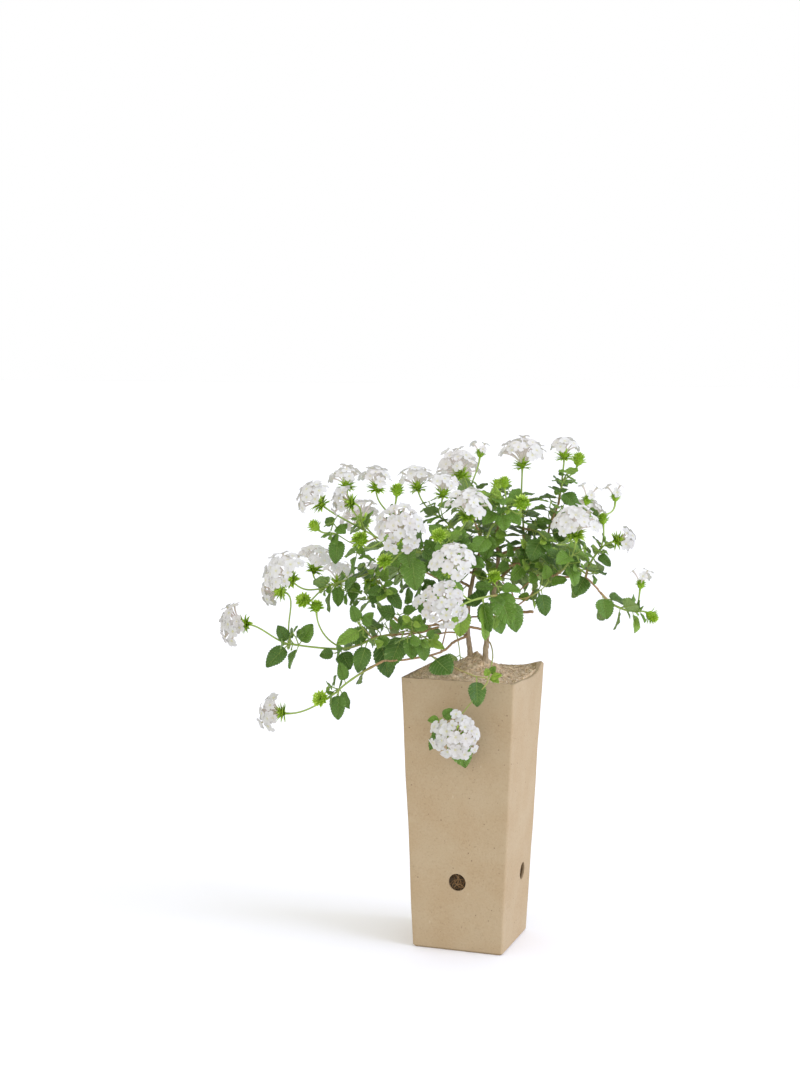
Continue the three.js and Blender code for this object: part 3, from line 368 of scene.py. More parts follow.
@dataclass(frozen=True)
class PressedFibre:
    """The grey-tan card of the pot, with flecks, a darker cut edge, and painted shade in that darker colour.
    """

    pale: Colour = paint(179, 159, 128)
    deep: Colour = paint(174, 151, 118)
    speck: Colour = paint(104, 82, 58)
    light: Colour = paint(196, 180, 152)
    # The cut card's darker colour, also used for painted shade on the rim, the inner walls and the foot
    cut: Colour = paint(112, 88, 60)

    def build(self) -> bpy.types.Material:
        """Makes the material.

        Returns:
            The material.
        """
        shader = Shader("pressed_fibre_finish")
        edge, _, _ = shader.grain()
        mottle = shader.noise(26, 4)
        pulp = shader.noise(620, 4, rough=0.7)
        colour = shader.mix(mottle.step(0.3, 0.72), self.deep, self.pale)
        colour = shader.mix(pulp.step(0.42, 0.75) * 0.22, colour, self.light)
        colour = shader.mix((1 - pulp.step(0.25, 0.45)) * 0.3, colour, self.speck)
        specks = shader.cells(210)
        rare = shader.noise(160, 1).step(0.53, 0.6)
        colour = shader.mix((1 - specks.step(0.08, 0.15)) * rare * 0.7, colour, self.speck)
        hairs = shader.cells(150, (1, 1, 0.35))
        chosen = shader.noise(95, 1).step(0.56, 0.62)
        colour = shader.mix((1 - hairs.step(0.05, 0.1)) * chosen * 0.5, colour, self.light)
        # The cut rim and holes take the darker colour; the same mask carries painted shade, most on the left
        cut_and_shade = edge + (pulp - 0.5) * 0.5
        colour = shader.mix(cut_and_shade.step(0.25, 0.8), colour, self.cut)
        height = pulp * 0.6 + shader.noise(180, 3) * 0.4
        return shader.surface(colour, 0.93, height, 0.35, 0.2)


@dataclass(frozen=True)
class Coir:
    """The tan fibrous compost, and the paler fibres and roots on it, with near-black painted shade on its
    sides in the pot.
    """

    name: str = "coir_finish"
    dark: Colour = paint(168, 138, 100)
    middle: Colour = paint(218, 192, 156)
    pale: Colour = paint(240, 224, 194)
    # The near-black of the painted shade on the root ball's sides inside the pot
    depth: Colour = paint(36, 24, 12)

    def build(self) -> bpy.types.Material:
        """Makes the material.

        Returns:
            The material.
        """
        shader = Shader(self.name)
        deep, _, tint = shader.grain()
        crumb = shader.noise(420, 5, rough=0.7)
        lumps = shader.noise(90, 3)
        colour = shader.mix(crumb.step(0.36, 0.56), self.dark, self.middle)
        colour = shader.mix(lumps.step(0.45, 0.75) * 0.55, colour, self.pale)
        colour = shader.mix(tint, colour, self.pale)
        # Painted shade: where the first value is high, on the root ball's sides inside the pot, the colour
        # goes almost to near black
        colour = shader.mix(deep * 0.92, colour, self.depth)
        height = crumb * 0.7 + shader.cells(520) * 0.5
        return shader.surface(colour, 0.95, height, 0.9, 0.1)


@dataclass(frozen=True)
class Bark:
    """Grey-tan bark on the old wood, browner and greener towards the ends of the branches."""

    old: Colour = paint(178, 159, 130)
    groove: Colour = paint(122, 98, 70)
    young: Colour = paint(176, 142, 102)

    def build(self) -> bpy.types.Material:
        """Makes the material.

        Returns:
            The material.
        """
        shader = Shader("bark_finish")
        age, _, _ = shader.grain()
        streaks = shader.noise(900, 4, (1, 1, 0.16), 0.65)
        blotch = shader.noise(160, 2)
        colour = shader.mix(age, self.young, self.old)
        colour = shader.mix((1 - streaks.step(0.34, 0.58)) * 0.75, colour, self.groove)
        colour = shader.mix(blotch.step(0.52, 0.7) * 0.3, colour, self.old)
        height = streaks * 0.8 + blotch * 0.4
        return shader.surface(colour, 0.85, height, 0.5, 0.2)


@dataclass(frozen=True)
class Stem:
    """A green shoot, petiole or stalk, tinged with brown where it is older."""

    fresh: Colour = paint(156, 180, 84)
    ripe: Colour = paint(136, 152, 74)
    brown: Colour = paint(166, 134, 92)

    def build(self) -> bpy.types.Material:
        """Makes the material.

        Returns:
            The material.
        """
        shader = Shader("green_stem_finish")
        _, wood, tint = shader.grain()
        fuzz = shader.noise(1500, 3)
        colour = shader.mix(tint, self.ripe, self.fresh)
        colour = shader.mix((wood + (fuzz - 0.5) * 0.6).step(0.3, 0.9), colour, self.brown)
        return shader.surface(colour, 0.6, fuzz, 0.15, 0.35)


@dataclass(frozen=True)
class LeafFace:
    """One face of a leaf: rough and puffed between sunk veins above, pale with raised veins below."""

    name: str
    old: Colour
    ripe: Colour
    young: Colour
    vein: Colour
    relief: float
    gloss: float
    vein_pairs: float = 7
    vein_lean: float = 0.24

    def build(self) -> bpy.types.Material:
        """Makes the material.

        Returns:
            The material.
        """
        shader = Shader(self.name)
        along, aside, tint = shader.grain()
        across = abs(aside)
        phase = ((along - across * self.vein_lean) * self.vein_pairs).fraction()
        apart = 0.5 - abs(phase - 0.5)
        side_vein = 1 - apart.step(0.0, 0.13)
        midrib = 1 - across.step(0.0, 0.07)
        veins = shader.node("ShaderNodeMath", {"operation": "MAXIMUM"}, {0: side_vein * 0.8, 1: midrib})
        net = shader.cells(820)
        blotch = shader.noise(70, 3)
        colour = shader.mix(tint.step(0.0, 0.5), self.old, self.ripe)
        colour = shader.mix(tint.step(0.45, 1.0), colour, self.young)
        colour = shader.mix(blotch.step(0.4, 0.75) * 0.35, colour, self.ripe)
        colour = shader.mix(veins * 0.5, colour, self.vein)
        colour = shader.mix(net.step(0.1, 0.7) * 0.2, colour, self.old)
        puffed = (1 - veins) * 0.75 + net * 0.35
        height = puffed if self.relief > 0 else 1 - puffed
        return shader.surface(colour, self.gloss, height, abs(self.relief), 0.4)


@dataclass(frozen=True)
class BractGreen:
    """The bright green of bracts and closed buds, paler at their tips."""

    deep: Colour = paint(138, 176, 36)
    fresh: Colour = paint(176, 208, 64)
    tip: Colour = paint(206, 226, 116)

    def build(self) -> bpy.types.Material:
        """Makes the material.

        Returns:
            The material.
        """
        shader = Shader("bract_finish")
        along, aside, tint = shader.grain()
        colour = shader.mix(tint, self.deep, self.fresh)
        colour = shader.mix(along.step(0.45, 1.0) * 0.55, colour, self.tip)
        colour = shader.mix((1 - abs(aside).step(0.0, 0.2)) * 0.3, colour, self.tip)
        return shader.surface(colour, 0.55, shader.noise(1300, 3), 0.12, 0.35)


@dataclass(frozen=True)
class Petal:
    """White florets: a small yellow-green eye, and a slender tube tinged with pink below it.

    The petals give off a little light of their own, a painted light that keeps their shaded sides bright;
    it is whiter, as painted sky light, in the heads that face the sky.
    """

    # Painted light: the strength of the petals' emission, and the near-white it takes in heads facing the sky
    painted_glow: float = 0.28
    blush: Colour = paint(180, 170, 164)
    painted_sky_light: Colour = paint(250, 250, 250)
    stops: tuple[tuple[float, Colour], ...] = (
        (0.0, paint(168, 180, 112)),
        (1.0, paint(184, 183, 181)),
        (0.08, paint(180, 176, 142)),
        (0.3, paint(186, 172, 166)),
        (0.46, paint(184, 176, 158)),
        (0.5, paint(176, 178, 112)),
        (0.56, paint(181, 180, 170)),
    )

    def build(self) -> bpy.types.Material:
        """Makes the material.

        Returns:
            The material.
        """
        shader = Shader("petal_finish")
        outward, painted_sky_glow, tint = shader.grain()
        colour = shader.node("ShaderNodeValToRGB", {"stops": self.stops}, {0: outward * 0.5 + 0.5})
        colour = shader.mix(tint * 0.35, colour, self.blush)
        fuzz = shader.noise(700, 3)
        # Painted light: the emission colour is the petal's own, whiter in the heads that face the sky
        through = shader.mix(painted_sky_glow * 0.65, colour, self.painted_sky_light)
        light = {"Emission Strength": self.painted_glow, "Emission Color": through}
        return shader.surface(colour, 0.7, fuzz, 0.08, 0.25, light)


class Wardrobe:
    """Every finish, made once."""

    def __init__(self) -> None:
        """Makes the materials."""
        root = Coir(
            "root_finish", dark=paint(36, 24, 12), middle=paint(76, 54, 34), pale=paint(146, 116, 80)
        )
        upper = LeafFace(
            "leaf_upper_finish",
            old=paint(58, 92, 22),
            ripe=paint(100, 138, 40),
            young=paint(158, 188, 62),
            vein=paint(164, 190, 100),
            relief=0.55,
            gloss=0.5,
        )
        under = LeafFace(
            "leaf_under_finish",
            old=paint(116, 142, 80),
            ripe=paint(136, 164, 90),
            young=paint(168, 196, 100),
            vein=paint(184, 204, 136),
            relief=-0.4,
            gloss=0.65,
        )
        self.materials = {
            Finish.CARD: PressedFibre().build(),
            Finish.COIR: Coir().build(),
            Finish.ROOT: root.build(),
            Finish.BARK: Bark().build(),
            Finish.STEM: Stem().build(),
            Finish.LEAF_UPPER: upper.build(),
            Finish.LEAF_UNDER: under.build(),
            Finish.BRACT: BractGreen().build(),
            Finish.PETAL: Petal().build(),
        }


# Meshes


def net(
    rows: int, columns: int, first_tip: bool = False, last_tip: bool = False, closed: bool = False
) -> list[Array]:
    """The faces of a net of rows of points, which may run to a single point at either end.

    Args:
        rows: The number of full rows.
        columns: The number of points in a row.
        first_tip: Whether one point stands before the first row.
        last_tip: Whether one point stands after the last row.
        closed: Whether a row closes on itself.

    Returns:
        Arrays of corners, of four and of three to a face.
    """
    start = 1 if first_tip else 0
    here = np.arange(columns if closed else columns - 1)
    there = (here + 1) % columns
    quads = [
        np.stack((here, there, there + columns, here + columns), 1) + start + row * columns
        for row in range(rows - 1)
    ]
    found = [np.concatenate(quads)] if quads else []
    if first_tip:
        found.append(np.stack((np.zeros_like(here), there + 1, here + 1), 1))
    if last_tip:
        low = start + (rows - 1) * columns
        found.append(np.stack((here + low, there + low, np.full_like(here, low + columns)), 1))
    return found


def placed(name: str, data: bpy.types.ID) -> bpy.types.Object:
    """Puts a mesh, a lamp or a camera into the scene.

    Args:
        name: Its name.
        data: The mesh, lamp or camera.

    Returns:
        The object in the scene.
    """
    made = bpy.data.objects.new(name, data)
    bpy.context.scene.collection.objects.link(made)
    return made


def carry(mesh: bpy.types.Mesh, grain: Array) -> None:
    """Gives each point of a mesh the three values that its finish reads."""
    carried = mesh.attributes.new(GRAIN, "FLOAT_VECTOR", "POINT")
    carried.data.foreach_set("vector", grain.astype(np.float32).ravel())


def blade_grain(run: Array, across: Array, tint: float) -> Array:
    """The values for a blade's finish: along it, across it and its tint, from its foot to its tip.

    Args:
        run: The places of its points along it, in rows.
        across: Their places across it.
        tint: How fresh its green is.

    Returns:
        One row of values for the foot, one for each point, and one for the tip.
    """
    inner = np.stack((run, across, np.full_like(run, tint)), 2).reshape(-1, 3)
    return np.concatenate(([(0, 0, tint)], inner, [(1, 0, tint)]))


class Skin:
    """The faces of one piece, gathered in millimetres in the plan's or the pot's frame."""

    def __init__(self, turn: float = 0) -> None:
        """Starts an empty piece that is turned about Z when it is made.

        Args:
            turn: The angle in radians.
        """
        self.turn = turn
        self.points: list[Array] = []
        self.grains: list[Array] = []
        self.faces: list[list[int]] = []
        self.finishes: list[Finish] = []
        self.count = 0

    def add(self, points: Array, faces: list[Array], finish: Finish, grain: Array | Place) -> None:
        """Adds one surface.

        Args:
            points: Its points.
            faces: Its faces, as arrays of corners.
            finish: Its finish.
            grain: The three values for its finish, for all points or for each.
        """
        points = points.reshape(-1, 3)
        self.points.append(points)
        self.grains.append(np.broadcast_to(np.asarray(grain, float), points.shape))
        for block in faces:
            self.faces.extend((block + self.count).tolist())
            self.finishes.extend([finish] * len(block))
        self.count += len(points)

    def piece(self, name: str, wardrobe: Wardrobe, slot: str, replaces: str | None = None) -> None:
        """Makes the piece and lets it ride on the frame.

        Args:
            name: Its name.
            wardrobe: The finishes.
            slot: Not used.
            replaces: The node that it stands for, if any.
        """
        c, s = math.cos(self.turn), math.sin(self.turn)
        points = np.concatenate(self.points) @ np.array(((c, s, 0), (-s, c, 0), (0, 0, 1)))
        mesh = bpy.data.meshes.new(name)
        mesh.from_pydata((points * MM).tolist(), [], self.faces)
        used = sorted(set(self.finishes), key=lambda finish: finish.value)
        for finish in used:
            mesh.materials.append(wardrobe.materials[finish])
        place = {finish: index for index, finish in enumerate(used)}
        mesh.polygons.foreach_set("material_index", [place[finish] for finish in self.finishes])
        mesh.shade_smooth()
        carry(mesh, np.concatenate(self.grains))
        mesh.update()
        made = placed(name, mesh)
        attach(made, "root")
        if replaces:
            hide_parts(replaces)
        triangles = sum(len(face) - 2 for face in self.faces)
        log.info("%s: %d triangles, %d finishes", name, triangles, len(used))


def tube(
    skin: Skin, spine: Array, radii: Array | float, sides: int, finish: Finish, grain: Array | Place
) -> None:
    """Adds a round stem along a line of points, closed at both ends.

    Args:
        skin: The piece that it goes into.
        spine: The line's points.
        radii: The radius at each point, or one for all.
        sides: The number of its sides.
        finish: Its finish.
        grain: The values for its finish, for all or for each point of the line.
    """
    count = len(spine)
    radii = np.broadcast_to(radii, count)
    ways = np.gradient(spine, axis=0)
    ways /= np.linalg.norm(ways, axis=1)[:, None]
    across = ring_frame(ways[0])[1]
    turns = 2 * np.pi * np.arange(sides) / sides
    points = [spine[0]]
    for k in range(count):
        across = unit(square(across, ways[k]))
        other = cross(ways[k], across)
        ring = np.outer(np.cos(turns), across) + np.outer(np.sin(turns), other)
        points.extend(spine[k] + radii[k] * ring)
    points.append(spine[-1] + 0.4 * radii[-1] * ways[-1])
    rows = np.broadcast_to(np.asarray(grain, float), (count, 3))
    grains = np.concatenate((rows[:1], np.repeat(rows, sides, axis=0), rows[-1:]))
    skin.add(np.array(points), net(count, sides, True, True, True), finish, grains)


# The plan of the plant: x runs across it, y away from the viewer and z up


@dataclass(frozen=True)
class Branch:
    """A woody stem: its waypoints, and the radius at its foot and its end."""

    path: list[Place]
    radii: tuple[float, float]


@dataclass(frozen=True)
class Shoot:
    """A green shoot: its waypoints, the number of its leaf pairs and the length of their blades."""

    path: list[Place]
    pairs: int
    leaf: float = 0


@dataclass(frozen=True)
class Head:
    """A flower head: its shoot, where its stalk leaves that, its place, its facing and its reach.

    A head without a reach is a closed bud, and few is the number of florets of a sparse one.
    """

    shoot: int
    share: float
    at: Place
    face: Place
    reach: float = 0
    few: int = 0


@dataclass(frozen=True)
class SetLeaf:
    """A listed leaf: its shoot, where it leaves that, its direction, and the way its face looks.

    Then come the length of its blade, its width as a share of the usual one, and how fresh its green is.
    """

    shoot: int
    share: float
    way: Place
    light: Place
    long: float
    wide: float = 1
    tint: float | None = None


@dataclass(frozen=True)
class Spray:
    """A leafy spray: its shoots, its heads and the leaves that are listed one by one."""

    shoots: list[Shoot]
    heads: list[Head]
    leaves: list[SetLeaf] = field(default_factory=list)


TRUNKS: dict[str, list[Branch]] = {
    "left": [
        Branch([(-2, -6, 206), (-3, -5, 231), (-6, -5, 258), (-2, 0, 292), (5, 4, 318)], (2.4, 1.4)),
        Branch([(-5, -5, 247), (-17, -25, 245), (-24, -40, 241), (-36, -50, 238), (-60, -50, 234),
                (-72, -48, 233)], (1.3, 0.9)),
        Branch([(-5, -4, 252), (-14, 10, 252), (-24, 22, 252), (-40, 34, 249), (-55, 42, 246)], (1.2, 0.9)),
        Branch([(-3, -1, 285), (-25, -3, 297), (-48, 0, 303), (-68, 2, 304)], (1.4, 0.9)),
        Branch([(-1, 1, 296), (-14, -25, 303), (-26, -50, 310)], (1.3, 0.9)),
        Branch([(5, 4, 316), (3, 30, 328), (0, 55, 334)], (1.3, 0.9)),
        Branch([(-5, -3, 271), (-22, 28, 284), (-42, 58, 292)], (1.3, 0.9)),
    ],
    "right": [
        Branch([(8, -13, 206), (8, -12, 226), (10, -10, 251), (14, -5, 276), (18, 0, 304),
                (17, 4, 330)], (2.5, 1.3)),
        Branch([(10, -10, 252), (-4, -19, 256), (-20, -26, 259), (-42, -28, 253), (-62, -24, 250),
                (-78, -20, 248)], (1.3, 0.9)),
        Branch([(17, -1, 299), (32, -10, 305), (49, -15, 303), (61, -20, 297), (85, -25, 296),
                (97, -25, 285)], (1.4, 0.9)),
        Branch([(12, -8, 262), (20, -14, 264), (32, -20, 268), (44, -30, 270)], (1.5, 1.4)),
        Branch([(18, 1, 311), (38, 2, 318), (54, 2, 322), (60, 1, 338), (65, 0, 352)], (1.4, 0.9)),
        Branch([(13, -6, 273), (18, -30, 280), (21, -52, 286)], (1.3, 0.9)),
        Branch([(16, -2, 290), (34, 30, 300), (52, 58, 306)], (1.3, 0.9)),
    ],
}

# The thin leafless twigs that cross between the trunks and the lower shoots
BARE_TWIGS: list[Branch] = [
    Branch([(-5, -5, 247), (-20, -14, 251), (-36, -22, 249), (-55, -28, 247)], (0.75, 0.5)),
    Branch([(-22, -44, 267), (-24, -47, 257), (-26, -50, 249), (-28, -54, 241)], (0.6, 0.5)),
    Branch([(-22, -30, 265), (-30, -30, 261), (-41, -31, 255), (-55, -30, 249)], (0.65, 0.5)),
    Branch([(28, -32, 272), (35, -30, 277), (41, -26, 281), (45, -22, 286)], (0.65, 0.5)),
    Branch([(34, -24, 286), (41, -22, 292), (49, -18, 298)], (0.6, 0.5)),
    Branch([(20, -28, 293), (27, -30, 286), (29, -31, 279), (30, -32, 272)], (0.6, 0.5)),
    Branch([(12, -12, 256), (24, -18, 268), (25, -22, 276), (23, -24, 285)], (0.75, 0.5)),
    Branch([(-3, -5, 262), (7, -10, 264), (11, -8, 271), (17, -4, 276)], (0.7, 0.6)),
    Branch([(-67, -30, 256), (-59, -28, 261), (-50, -24, 268), (-44, -18, 272)], (0.6, 0.5)),
    Branch([(-37, -36, 240), (-47, -38, 239), (-58, -40, 240)], (0.6, 0.5)),
]

# Leafy twigs in the gaps of the crown: foot, direction, length and the length of the largest leaf
LEAFY_TWIGS: dict[str, list[tuple[Place, Place, float, float]]] = {
    "left": [
        ((-59, -28, 261), (-0.1, -0.5, 0.85), 10, 15), ((-50, -24, 268), (0.1, -0.6, 0.8), 10, 15),
        ((-44, -18, 272), (0, -0.5, 0.9), 11, 15), ((-48, 0, 303), (0.1, -0.5, -0.85), 16, 17),
        ((-60, 1, 304), (-0.1, -0.6, -0.8), 16, 16), ((-24, 8, 337), (-0.3, -0.7, 0.5), 14, 17),
        ((-12, 6, 325), (-0.6, -0.7, 0.3), 18, 18), ((-40, 2, 315), (0.3, -0.7, 0.6), 18, 18),
        ((-34, 9, 343), (0, -0.8, 0.2), 12, 16), ((-16, -42, 316), (0.5, -0.5, 0.5), 12, 15),
        ((-21, -56, 323), (-0.2, -0.5, 0.8), 10, 14), ((-94, -16, 320), (0, -0.6, -0.7), 12, 15),
        ((-106, -12, 290), (0.1, -0.5, -0.85), 12, 15), ((-84, -6, 296), (0.1, -0.4, -0.9), 22, 15),
    ],
    "right": [
        ((38, 5, 332), (0.3, -0.8, 0.1), 16, 18), ((38, 2, 318), (0.2, -0.9, 0.3), 18, 18),
        ((37, 4, 345), (-0.2, -0.9, 0.2), 16, 17), ((14, -30, 350), (-0.1, -0.2, 0.95), 13, 15),
        ((22, -14, 348), (-0.3, -0.3, 0.9), 16, 15), ((36, 2, 354), (-0.8, -0.3, 0.5), 16, 15),
        ((17, 4, 330), (0.3, -0.9, 0), 16, 17),
    ],
}

SPRAYS: dict[str, Spray] = {}
SPRAYS["low_left"] = Spray(
    [Shoot([(-72, -48, 233), (-88, -42, 223), (-101, -37, 213), (-109, -33, 205)], 2, 20)],
    [Head(0, 0.95, (-150, -20, 186), (-0.95, -0.1, 0.1), 16),
     Head(0, 1, (-119, -36, 200), (-0.3, -0.8, 0.3))],
    [SetLeaf(0, 0.9, (-0.02, -0.35, -0.94), (-0.2, -0.9, 0.3), 19, 0.85),
     SetLeaf(0, 0.85, (0.45, 0.27, -0.85), (0.8, -0.7, 0.3), 16, 0.7),
     SetLeaf(0, 0.67, (-0.25, -0.14, 0.96), (0, -0.6, 0.8), 15, 0.8)],
)
SPRAYS["far_left"] = Spray(
    [Shoot([(-78, -20, 248), (-92, -21, 241), (-106, -22, 238), (-130, -25, 240),
            (-148, -28, 243)], 2, 20)],
    [Head(0, 1, (-179, -30, 258), (-0.88, -0.4, 0.1), 17),
     Head(0, 0.92, (-152, -8, 281), (-0.9, 0.2, 0.1), 13),
     Head(0, 0.45, (-124, -42, 270), (0, -0.4, 0.8))],
    [SetLeaf(0, 0.97, (-0.69, -0.3, -0.65), (-0.3, -0.9, 0.4), 21, 0.85),
     SetLeaf(0, 0.97, (-0.51, -0.12, 0.85), (0, -0.9, 0.5), 14, 0.9),
     SetLeaf(0, 0.86, (0.5, -0.21, 0.84), (0, -0.9, 0.5), 17, 0.9),
     SetLeaf(0, 0.5, (0.35, -0.5, -0.6), (0, -0.8, 0.5), 16, 1.1)],
)
SPRAYS["left_middle"] = Spray(
    [Shoot([(-68, 2, 304), (-84, -6, 296), (-106, -12, 290), (-119, -15, 285)], 2, 19),
     Shoot([(-84, -6, 296), (-76, -20, 291), (-69, -30, 286)], 0)],
    [Head(0, 1, (-143, -44, 294), (-0.6, -0.35, 0.65), 19),
     Head(0, 0.9, (-128, -2, 297), (0.3, -0.1, 0.95), 16),
     Head(0, 0.7, (-111, 26, 283), (0.4, 0.1, 0.9), 15),
     Head(0, 1, (-133, -26, 275), (-0.2, -0.6, 0.3))],
    [SetLeaf(1, 0.97, (-0.89, -0.45, -0.08), (0, -0.9, 0.5), 14, 0.85),
     SetLeaf(1, 0.94, (-0.47, -0.71, -0.53), (-0.2, -0.9, 0.4), 12, 0.85),
     SetLeaf(1, 0.97, (0.56, -0.4, -0.73), (0.1, -0.9, 0.5), 16, 0.8),
     SetLeaf(1, 0.62, (0.27, -0.41, 0.87), (0, -0.9, 0.6), 12, 0.9),
     SetLeaf(1, 0.5, (-0.27, -0.51, -0.82), (0, -0.9, 0.5), 16, 0.8),
     SetLeaf(0, 0.5, (-0.1, -0.5, -0.86), (0, -0.9, 0.3), 16, 0.85),
     SetLeaf(0, 0.72, (0.05, -0.45, -0.89), (0.3, -0.9, 0.3), 16, 0.8)],
)
SPRAYS["left_behind"] = Spray(
    [Shoot([(-55, 42, 246), (-68, 42, 258), (-80, 36, 268), (-86, 32, 272)], 2, 20)],
    [Head(0, 0.8, (-83, 18, 286), (0.2, -0.3, 0.9), 12)],
)
SPRAYS["left_upper"] = Spray(
    [Shoot([(-48, 0, 303), (-62, -4, 316), (-78, -10, 325), (-94, -12, 334)], 2, 18),
     Shoot([(-78, -10, 325), (-94, -16, 320), (-110, -16, 328)], 0)],
    [Head(0, 1, (-121, -20, 351), (-0.7, -0.15, 0.6), 16),
     Head(0, 0.85, (-97, -34, 354), (-0.9, -0.2, 0.2), 12),
     Head(0, 0.7, (-103, 12, 362), (-0.1, 0.15, 1), 14),
     Head(1, 1, (-124, -6, 330), (-0.7, 0.2, 0.6))],
    [SetLeaf(1, 0.95, (-0.09, -0.35, -0.93), (-0.1, -0.95, 0.3), 19, 0.85),
     SetLeaf(1, 0.97, (0.62, -0.18, 0.77), (0, -0.8, 0.6), 10, 0.8),
     SetLeaf(1, 0.5, (0.41, -0.73, -0.54), (0, -0.9, 0.5), 10, 0.8)],
)
SPRAYS["crown_left"] = Spray(
    [Shoot([(-25, -3, 297), (-40, 2, 315), (-55, 2, 330), (-66, 0, 340)], 3, 18)],
    [Head(0, 1, (-79, -12, 363), (0, -0.1, 1), 14),
     Head(0, 0.85, (-63, -30, 359), (0.1, -0.2, 1)),
     Head(0, 0.6, (-89, -42, 323), (-0.3, -0.6, 0.6))],
)
SPRAYS["front_left"] = Spray(
    [Shoot([(-26, -50, 310), (-36, -58, 316), (-48, -66, 320), (-56, -70, 321)], 3, 21)],
    [Head(0, 0.8, (-59, -85, 334.5), (-0.1, -0.85, 0.45), 21),
     Head(0, 1, (-70, -74, 311), (-0.3, -0.7, 0.5))],
    [SetLeaf(0, 0.79, (0.1, -0.12, -0.98), (-0.2, -0.8, 0.6), 25, 0.95)],
)
SPRAYS["crown_middle"] = Spray(
    [Shoot([(1, 2, 306), (-12, 6, 325), (-24, 8, 337), (-34, 9, 343)], 3, 18)],
    [Head(0, 1, (-46, 20, 361), (-0.2, 0.1, 1), 15),
     Head(0, 0.75, (-27, -18, 359), (0.05, -0.05, 1), 14)],
)
SPRAYS["crown_top"] = Spray(
    [Shoot([(5, 4, 318), (3, 8, 334), (-1, 14, 348), (-4, 18, 356)], 3, 16)],
    [Head(0, 0.9, (-11, 16, 373), (-0.65, -0.1, 0.75), 18),
     Head(0, 1, (4, 40, 386), (0.1, 0, 1), 10, few=3)],
)
SPRAYS["front_middle"] = Spray(
    [Shoot([(-14, -25, 303), (-16, -42, 316), (-21, -56, 323), (-26, -66, 325)], 3, 20)],
    [Head(0, 1, (-31, -86, 333), (0, -0.9, 0.4)),
     Head(0, 0.7, (-9, -55, 346), (0.05, -0.3, 0.95), 18)],
)
SPRAYS["front_low"] = Spray(
    [Shoot([(21, -52, 286), (8, -64, 286), (-6, -76, 284), (-16, -84, 280)], 2, 20)],
    [Head(0, 0.65, (-21, -98, 309), (0.05, -0.6, 0.8), 18),
     Head(0, 1, (-28, -108, 285), (-0.05, -0.95, 0.15), 19)],
    [SetLeaf(0, 0.44, (0.12, -0.04, -0.99), (0.8, -0.75, 0.2), 27, 0.65, tint=0.6),
     SetLeaf(0, 0.46, (0.2, -0.1, -0.97), (-0.6, -0.8, 0.1), 22, 0.8, tint=0.3)],
)
SPRAYS["front_right"] = Spray(
    [Shoot([(32, -20, 268), (27, -36, 281), (20, -48, 291), (14, -58, 293)], 0),
     Shoot([(27, -36, 281), (38, -39, 282), (50, -40, 289), (56, -38, 296)], 0)],
    [Head(0, 1, (12, -64, 298), (-0.1, -0.6, 0.7))],
    [SetLeaf(0, 0.97, (-1, -0.3, 0.05), (0, -0.6, 1), 15, tint=0.4),
     SetLeaf(0, 0.95, (1, -0.25, -0.1), (0, -0.6, 1), 15, tint=0.5),
     SetLeaf(0, 0.96, (0.32, -0.36, -0.88), (-0.1, -1, 0.2), 26, 0.9, tint=0.5),
     SetLeaf(0, 0.38, (0.17, -0.29, -0.94), (0.2, -1, 0.1), 23, 0.85, tint=0.3),
     SetLeaf(1, 0.65, (0.19, -0.2, -0.96), (0.15, -1, 0.2), 17, 0.9, tint=0.25),
     SetLeaf(1, 0.95, (-0.2, -0.5, 0.85), (0, -0.9, 0.6), 13, 0.85, tint=0.6),
     SetLeaf(1, 0.93, (0.85, -0.4, 0.2), (0, -0.9, 0.8), 13, 0.85, tint=0.6)],
)
SPRAYS["centre"] = Spray(
    [Shoot([(17, 4, 330), (19, -6, 340), (22, -14, 348), (24, -20, 352)], 3, 19),
     Shoot([(19, -6, 340), (12, -22, 336), (7, -36, 328)], 1, 19),
     Shoot([(19, -6, 340), (20, -20, 346), (14, -30, 350)], 0)],
    [Head(0, 0.95, (21, -24, 366), (0, -0.1, 1)),
     Head(0, 0.7, (32, -56, 353), (0.1, -0.6, 0.8))],
    [SetLeaf(1, 0.86, (-0.5, -0.66, -0.56), (-0.1, -0.95, 0.3), 17, 1.1, tint=0.5),
     SetLeaf(2, 0.71, (0.15, -0.77, -0.61), (0.1, -0.9, 0.4), 17, 0.95, tint=0.45),
     SetLeaf(2, 0.97, (-0.08, -0.1, 0.99), (0, -0.9, 0.5), 15, 0.8, tint=0.7),
     SetLeaf(2, 0.95, (-0.75, -0.07, 0.66), (0, -0.9, 0.5), 18, 0.8, tint=0.7),
     SetLeaf(2, 0.9, (-0.62, -0.59, -0.52), (-0.1, -0.9, 0.4), 15, 0.9, tint=0.5),
     SetLeaf(0, 0.97, (0.96, -0.01, 0.28), (0, -0.8, 0.7), 14, 0.6, tint=0.6),
     SetLeaf(0, 0.8, (0.5, -0.67, -0.55), (0.2, -0.9, 0.5), 17, 0.8, tint=0.4)],
)
SPRAYS["right_crown"] = Spray(
    [Shoot([(38, 2, 318), (38, 5, 332), (37, 4, 345), (36, 2, 354)], 3, 18),
     Shoot([(38, 5, 332), (48, -12, 331), (54, -26, 326)], 2, 18)],
    [Head(0, 1, (36, 0, 381), (0, 0, 1), 21)],
    [SetLeaf(1, 0.77, (-0.42, -0.6, -0.68), (0, -0.95, 0.3), 20, 1.05),
     SetLeaf(1, 0.55, (0.34, -0.8, -0.5), (0.2, -0.8, 0.6), 20, 0.6)],
)
SPRAYS["right_upper"] = Spray(
    [Shoot([(65, 0, 352), (66, -2, 360), (67, -5, 367), (67, -6, 371)], 3, 16)],
    [Head(0, 1, (68, -10, 389), (0, 0, 1), 13),
     Head(0, 0.7, (80, 8, 382), (0.2, 0, 1))],
    [SetLeaf(0, 0.49, (0.58, -0.5, -0.6), (0.3, -0.9, 0.5), 18, 0.9)],
)
